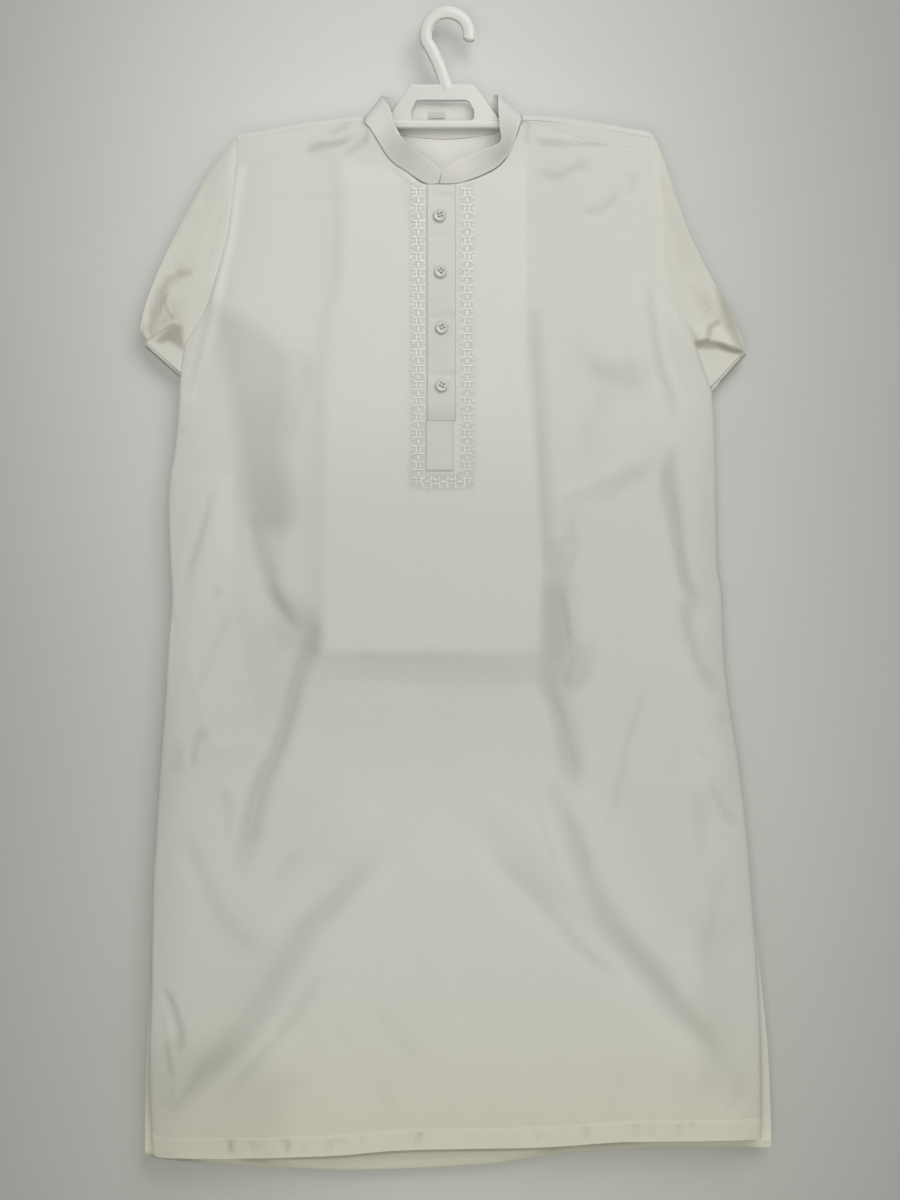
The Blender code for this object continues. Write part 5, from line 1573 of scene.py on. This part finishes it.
def arc_strokes(aside, along, radius, start, end, width=0.62, count=6):
    """A curl of the trim as short strokes round an arc."""
    strokes = []
    for k in range(count):
        angle = radians(mix(start, end, (k + 0.5) / count))
        half = radius * abs(radians(end - start)) / count * 0.62
        strokes.append(Stroke(aside + radius * cos(angle), along + radius * sin(angle), half, width,
                              90 + angle * 180 / pi))
    return tuple(strokes)


class CLOTH_OT_embroidery(bpy.types.Operator):
    """Work the geometric trim down both sides of the placket and across its foot"""
    bl_idname = "kameez.embroidery"
    bl_label = "Embroidery"

    def execute(self, context):
        stitches = []

        def repeat(core, along, outwards, strokes, way=1):
            for stroke in strokes:
                aside = stroke.aside * way
                x = core[0] + along[0] * stroke.along + outwards[0] * aside
                drop = core[1] + along[1] * stroke.along + outwards[1] * aside
                turn = radians(stroke.turn)
                vx = outwards[0] * way * cos(turn) + along[0] * sin(turn)
                vd = outwards[1] * way * cos(turn) + along[1] * sin(turn)
                stitches.append((x, drop, atan2(vd, vx), stroke.half_length, stroke.half_width))

        hooks = arc_strokes(5.4, 3.1, 1.4, 90, -130) + arc_strokes(5.4, -3.1, 1.4, -90, 130)
        curl = arc_strokes(7.0, 8.6, 1.6, -160, 130, count=7)
        unit = SPINDLE + RING + BARS + hooks + TIES
        for core, outwards in ((LEFT_CORE, (-1, 0)), (RIGHT_CORE, (1, 0))):
            for number in range(BAND_REPEATS):
                place = (core, BAND_START + number * BAND_PITCH)
                repeat(place, (0, 1), outwards, unit[1:] if number == 0 else unit)
                repeat(place, (0, 1), outwards, BARS + hooks, way=-1)
                if number % 3 == 1:
                    repeat(place, (0, 1), outwards, curl)
        for number in range(FOOT_REPEATS):
            place = (FOOT_START + number * FOOT_PITCH, BOTTOM_CORE)
            joined = RING + TIES if number < FOOT_REPEATS - 1 else ()
            repeat(place, (1, 0), (0, 1), SPINDLE + BARS + hooks + joined)
            repeat(place, (1, 0), (0, 1), BARS, way=-1)
        for x in (-36, -25.5, -19.2, -12, -2.4, 9.2, 16.5, 28):
            stitches.append((x, 497.6, 0.6, 0.9, 0.6))
        x, drop, angle, length, width = np.array(stitches).T
        below_neck = drop > panel_top(x) + 1.5
        x, drop, angle, length, width = [part[below_neck] for part in (x, drop, angle, length, width)]
        height = np.full(x.shape, TRIM_HALF_HEIGHT)
        bars = np.stack([x, front_y(x, drop) - TRIM_LIFT, drop, angle, length, width, height], axis=1)
        sewing_bars("embroidery", bars, "embroidery thread", round_sides=8, rings=6)
        return {"FINISHED"}


# A button's rings, each as its rise from the one before and its size against it. The side swells to the rim,
# the rim is rounded, and the middle is dished.
BUTTON_RINGS = ((0.0005, 1.12), (0.0004, 1.038), (0.0004, 0.985), (0.00015, 0.94), (-0.0001, 0.90),
                (-0.0004, 0.86), (-0.0001, 0.80), (0.0, 0.7))
BUTTON_SPINS = (12, 48, 30, 62)
# The line of stitches left of the third button.
BUTTONHOLE_X = -9.6
HOLE_RADIUS = 0.00115
HOLE_PLACE = 0.0022


def shirt_button(radius):
    """A four-hole button that lies on its back in the origin."""
    button = made_by(bpy.ops.mesh.primitive_cylinder_add, "button_blank", vertices=48, radius=radius * 0.86,
                     depth=0.0008)
    edit_faces(button, [face.normal.z > 0.9 for face in button.data.polygons])
    for rise, size in BUTTON_RINGS:
        bpy.ops.mesh.extrude_region_move(TRANSFORM_OT_translate={"value": (0, 0, rise)})
        bpy.ops.transform.resize(value=(size, size, 1))
    bpy.ops.object.mode_set(mode="OBJECT")
    for k in range(4):
        angle = pi / 4 + k * pi / 2
        hole = (HOLE_PLACE * cos(angle), HOLE_PLACE * sin(angle), 0)
        drill = made_by(bpy.ops.mesh.primitive_cylinder_add, "drill", vertices=16, radius=HOLE_RADIUS,
                        depth=0.01, location=hole)
        apply_modifier(button, "BOOLEAN", object=drill, operation="DIFFERENCE")
        bpy.data.objects.remove(drill)
    only(button)
    bpy.ops.object.shade_smooth_by_angle(angle=radians(35))
    return button


class CLOTH_OT_buttons(bpy.types.Operator):
    """Turn a four-hole shirt button, copy it down the placket and sew each on"""
    bl_idname = "kameez.buttons"
    bl_label = "Buttons"

    def execute(self, context):
        button = shirt_button(context.scene.kameez_trim.button_width / 2)
        low = min(vertex.co.z for vertex in button.data.vertices)
        sewn = []
        for number, (place, turn) in enumerate(zip(BUTTON_PLACES, BUTTON_SPINS), start=1):
            copy = added("shirt_button_%d" % number, button.data.copy())
            around_x, around_d = np.array([-6, 0, 6, 0, 0]), np.array([0, 6, 0, -6, 0])
            back = float(placket_y(place.x + around_x, place.drop + around_d).min()) - SEAM_GAP
            spin = radians(turn)
            for vertex in copy.data.vertices:
                x, y, z = vertex.co
                turned_x, turned_z = x * cos(spin) - y * sin(spin), x * sin(spin) + y * cos(spin)
                vertex.co = (place.x * MM + turned_x, back * MM - (z - low), -place.drop * MM + turned_z)
            copy.data.update()
            finished(copy, "pearly polyester", "pearl_button", "button_%d" % number)
            for aside in (-1.45, 1.45):
                x, drop = place.x + aside * sin(spin), place.drop + aside * cos(spin)
                sewn.append((x, back - 1.1, drop, -spin, 1.1, 0.14, 0.2))
        bpy.data.objects.remove(button)
        drops = 338 + 3.0 * np.arange(9)
        slot_y = placket_y(np.full(9, BUTTONHOLE_X), drops) - 0.3
        sewn += [(BUTTONHOLE_X, y, drop, pi / 2, 1.7, THREAD_HALF, THREAD_HALF)
                 for y, drop in zip(slot_y, drops)]
        sewing_bars("button_thread", sewn, "sewing thread")
        return {"FINISHED"}


class CLOTH_OT_label(bpy.types.Operator):
    """Sew a blank satin label inside the back of the collar"""
    bl_idname = "kameez.label"
    bl_label = "Neck label"

    def execute(self, context):
        def lay(u, v):
            x, drop = mix(LABEL_LEFT, LABEL_RIGHT, u), mix(LABEL_TOP, LABEL_BOTTOM, v)
            return x, np.full(x.shape, 5.2) - 0.25 * np.sin(pi * v) + 0.15 * np.sin(x / 3), drop

        piece = laid_cloth("neck_label_cloth", even(17, 1.2), even(6.4, 0.8), lay, thickness=0.6)
        finished(piece, "woven satin", "label_satin", "neck_label")
        return {"FINISHED"}


# Hanger, in millimetres, in the plane of the shoulders.
HOOK_WIDTH, HOOK_DEPTH = 13.0, 8.0
PLATE_DEPTH = 7.0
ARM_LINE = ((-206, 127.2), (-150, 118.8), (-88, 113.8), (-52, 112.1), (0, 112.1), (50, 112.1), (80, 113.2),
            (150, 118.0), (202, 125.0))
PLATE_OUTER = ((-38.5, 69.9), (27.4, 69.9), (55.5, 107.0), (55.5, 112.5), (-64.0, 112.5), (-64.0, 107.0))
PLATE_INNER = ((-33.0, 86.0), (22.5, 86.0), (28.5, 97.5), (28.5, 108.0), (-38.0, 108.0), (-38.0, 97.5))
RAIL = ((-196, 122), (-196, 158), (-193, 166.5), (-185, 171), (-60, 171), (60, 171), (181, 171), (189, 166.5),
        (192, 158), (192, 121))


def rounded_bar(name, line, width, depth, ends=(1.0, 1.0), sides=20):
    """A bar of rounded section along a line: a circle that is drawn out along it ring by ring."""
    line = np.array(line, float)
    ahead = np.gradient(line, axis=0)
    ahead /= np.hypot(*ahead.T)[:, None]
    sizes = np.ones(len(line))
    sizes[0], sizes[-1] = ends
    bar = made_by(bpy.ops.mesh.primitive_circle_add, name, vertices=sides, radius=1, fill_type="NGON")
    mesh = bar.data
    circle = np.array([vertex.co for vertex in mesh.vertices])
    round_x = np.sign(circle[:, 0]) * abs(circle[:, 0]) ** 0.62 * width / 2
    round_y = np.sign(circle[:, 1]) * abs(circle[:, 1]) ** 0.62 * depth / 2
    bpy.ops.object.mode_set(mode="EDIT")
    bpy.ops.mesh.select_all(action="SELECT")
    for _ in range(len(line) - 1):
        bpy.ops.mesh.extrude_region_move(TRANSFORM_OT_translate={"value": (0, 0, 1)})
    bpy.ops.object.mode_set(mode="OBJECT")
    for vertex in mesh.vertices:
        ring = int(round(vertex.co.z))
        spoke = int(np.argmin((circle[:, 0] - vertex.co.x) ** 2 + (circle[:, 1] - vertex.co.y) ** 2))
        (x, drop), (ux, ud), size = line[ring], ahead[ring], sizes[ring]
        aside = round_x[spoke] * size
        vertex.co = ((x - ud * aside) * MM, round_y[spoke] * size * MM, -(drop + ux * aside) * MM)
    mesh.update()
    edit_all(bar, bpy.ops.mesh.normals_make_consistent, inside=False)
    return bar


def flat_plate(name, outline, depth, bevel, segments):
    """A flat plate of an outline in the hanger's plane, with its corners rounded."""
    plate = made_by(bpy.ops.mesh.primitive_circle_add, name, vertices=len(outline), radius=1,
                    fill_type="NGON")
    for vertex, (x, drop) in zip(plate.data.vertices, outline):
        vertex.co = (x * MM, -depth / 2 * MM, -drop * MM)
    edit_all(plate, bpy.ops.mesh.extrude_region_move, TRANSFORM_OT_translate={"value": (0, depth * MM, 0)})
    edit_all(plate, bpy.ops.mesh.normals_make_consistent, inside=False)
    apply_modifier(plate, "BEVEL", width=bevel * MM, segments=segments, limit_method="ANGLE")
    return plate


class CLOTH_OT_hanger(bpy.types.Operator):
    """Mould the hanger: its hook, neck frame, arms and trouser rail in one piece"""
    bl_idname = "kameez.hanger"
    bl_label = "Hanger"

    def execute(self, context):
        inner = context.scene.kameez_trim.hook_radius / MM
        radius = inner + HOOK_WIDTH / 2
        angles = np.radians(np.linspace(204, -18, 44))
        bow = [(radius * cos(angle), inner - radius * sin(angle)) for angle in angles]
        foot = [(0.2, 76.0), (-1.6, 70.0), (-5.4, 58.5), (-9.4, 48.0), (-14.2, 37.6), (-18.2, 30.0)]
        hook = rounded_bar("hook_bar", foot + bow, HOOK_WIDTH, HOOK_DEPTH, ends=(1.0, 0.55))
        arms = rounded_bar("hanger_moulding", through(ARM_LINE, 4), 9.0, 10.0, ends=(0.6, 0.6))
        rail = rounded_bar("rail_bar", through(RAIL, 4), 7.2, 7.0)
        plate = flat_plate("neck_plate", PLATE_OUTER, PLATE_DEPTH, 1.2, 3)
        window = flat_plate("plate_window", PLATE_INNER, PLATE_DEPTH + 6.0, 4.0, 5)
        apply_modifier(plate, "BOOLEAN", object=window, operation="DIFFERENCE")
        for other in (plate, hook, rail):
            apply_modifier(arms, "BOOLEAN", object=other, operation="UNION")
            bpy.data.objects.remove(other)
        bpy.data.objects.remove(window)
        only(arms)
        bpy.ops.object.shade_smooth_by_angle(angle=radians(38))
        apply_modifier(arms, "WEIGHTED_NORMAL", keep_sharp=True)
        finished(arms, "moulded polypropylene", "hanger_plastic", "hanger")
        return {"FINISHED"}


class CLOTH_OT_materials(bpy.types.Operator):
    """Make the cloth, thread, button, label and hanger materials"""
    bl_idname = "kameez.materials"
    bl_label = "Materials"

    def execute(self, context):
        cloth, trim = context.scene.kameez_cloth, context.scene.kameez_trim
        thread_mm = cloth.weave / MM
        woven_cotton("white cotton", tuple(cloth.thin), tuple(cloth.full), thread_mm, 0.12, 0.12)
        woven_cotton("sleeve cotton", tuple(cloth.hollow_shade), tuple(cloth.full), thread_mm, 0.12, 0.12)
        woven_cotton("stiffened cotton", tuple(cloth.thin), tuple(cloth.placket), thread_mm, 0.10, 0.05)
        rayon_thread("embroidery thread", tuple(cloth.thread))
        rayon_thread("sewing thread", tuple(cloth.thread))
        moulded_polypropylene("moulded polypropylene", tuple(trim.hanger))
        pearly_polyester("pearly polyester", tuple(trim.button))
        woven_satin("woven satin", tuple(trim.label))
        return {"FINISHED"}


# The soft lights of the room. A share is of the key light's power.
Light = namedtuple("Light", "name place aim size share colour")
LIGHTS = (
    Light("key", (0.85, -2.0, 1.1), (0, 0, -0.5), (2.0, 1.5), 1.0, (1, 0.99, 0.97)),
    Light("front", (-0.3, -2.3, -0.7), (0, 0, -0.6), (1.2, 1.4), 0.342, (1, 0.993, 1)),
    Light("fill_left", (-2.0, -1.9, -0.5), (0, 0, -0.7), (1.4, 2.0), 0.14, (1, 1, 1)),
    Light("fill_right", (2.0, -1.9, -0.5), (0, 0, -0.7), (1.4, 2.0), 0.14, (1, 1, 1)),
    Light("low_fill", (0, -2.0, -1.6), (0, 0, -1.0), (1.6, 0.4), 0.13, (1, 0.94, 0.5)),
    Light("ceiling_tube", (0.1, -0.3, 2.0), (0, -0.2, 0), (1.2, 0.06), 0.16, (1, 1, 1)),
    Light("behind", (0.6, 2.4, 1.0), (0, 0, -0.6), (2.0, 2.0), 1.0, (1, 1, 1)),
)
WALL_PLACE = (0, 0.0245, -0.6)
FLOOR_PLACE = (0, 0, -1.95)
# The camera looks at the garment's middle, where its front is FRONT_FACE metres before the origin.
AIM_X, AIM_HEIGHT, FRONT_FACE = 0.00285, -0.6134, 0.010


def area_light(plan, key):
    light = bpy.data.lights.new(plan.name, "AREA")
    light.shape = "RECTANGLE"
    light.size, light.size_y = plan.size
    light.energy = key * plan.share
    light.color = plan.colour
    lamp = added(plan.name, light)
    lamp.location = plan.place
    lamp.rotation_euler = (Vector(plan.aim) - Vector(plan.place)).to_track_quat("-Z", "Y").to_euler()


class CLOTH_OT_stage(bpy.types.Operator):
    """Set up the wall, the floor, the soft lights and the camera"""
    bl_idname = "kameez.stage"
    bl_label = "Stage"

    def execute(self, context):
        stage = context.scene.kameez_stage
        painted_wall("matt wall paint", tuple(stage.wall))
        plane = bpy.ops.mesh.primitive_plane_add
        wall = made_by(plane, "wall", size=6.0, location=WALL_PLACE, rotation=(pi / 2, 0, 0))
        floor = made_by(plane, "floor", size=8.0, location=FLOOR_PLACE)
        for piece in (wall, floor):
            piece.data.materials.append(bpy.data.materials["matt wall paint"])
        wall.visible_shadow = False
        wall.visible_diffuse = False
        wall.visible_glossy = False
        for plan in LIGHTS:
            area_light(plan, stage.key)
        world = bpy.data.worlds.new("pale room")
        context.scene.world = world
        world.use_nodes = True
        backdrop = world.node_tree.nodes["Background"]
        backdrop.inputs["Color"].default_value = (*linear("#E9EAEA"), 1)
        backdrop.inputs["Strength"].default_value = 0.3
        context.scene.view_settings.view_transform = "Standard"
        camera = bpy.data.cameras.new("camera")
        camera.sensor_fit = "VERTICAL"
        camera.sensor_height = 36.0
        camera.lens = camera.sensor_height * stage.distance / stage.seen_height
        eye = added("camera", camera)
        eye.location = (AIM_X, -FRONT_FACE - stage.distance, AIM_HEIGHT)
        eye.rotation_euler = (pi / 2, 0, 0)
        context.scene.camera = eye
        return {"FINISHED"}


STEPS = ("materials", "stage", "front", "back", "yoke", "sleeves", "forearms", "collar", "placket", "pocket",
         "shalwar", "hanger", "label", "stitching", "embroidery", "buttons")


class CLOTH_PT_panel(bpy.types.Panel):
    """Lists the kameez's settings and the steps that make it"""
    bl_idname = "CLOTH_PT_panel"
    bl_label = "Kameez"
    bl_space_type = "VIEW_3D"
    bl_region_type = "UI"
    bl_category = "Kameez"

    def draw(self, context):
        for group in (context.scene.kameez_cloth, context.scene.kameez_trim, context.scene.kameez_stage):
            box = self.layout.box()
            for name in group.__annotations__:
                box.prop(group, name)
        for step in STEPS:
            self.layout.operator("kameez." + step)


CLASSES = (
    KameezCloth, KameezTrim, KameezStage, CLOTH_OT_materials, CLOTH_OT_stage, CLOTH_OT_front, CLOTH_OT_back,
    CLOTH_OT_yoke, CLOTH_OT_sleeves, CLOTH_OT_forearms, CLOTH_OT_collar, CLOTH_OT_placket, CLOTH_OT_pocket,
    CLOTH_OT_shalwar, CLOTH_OT_hanger, CLOTH_OT_label, CLOTH_OT_stitching, CLOTH_OT_embroidery,
    CLOTH_OT_buttons, CLOTH_PT_panel,
)


def register():
    for made in CLASSES:
        bpy.utils.register_class(made)
    bpy.types.Scene.kameez_cloth = bpy.props.PointerProperty(type=KameezCloth)
    bpy.types.Scene.kameez_trim = bpy.props.PointerProperty(type=KameezTrim)
    bpy.types.Scene.kameez_stage = bpy.props.PointerProperty(type=KameezStage)


def unregister():
    del bpy.types.Scene.kameez_stage
    del bpy.types.Scene.kameez_trim
    del bpy.types.Scene.kameez_cloth
    for made in reversed(CLASSES):
        bpy.utils.unregister_class(made)


def main():
    register()
    for step in STEPS:
        getattr(bpy.ops.kameez, step)()


if __name__ == "__main__":
    main()
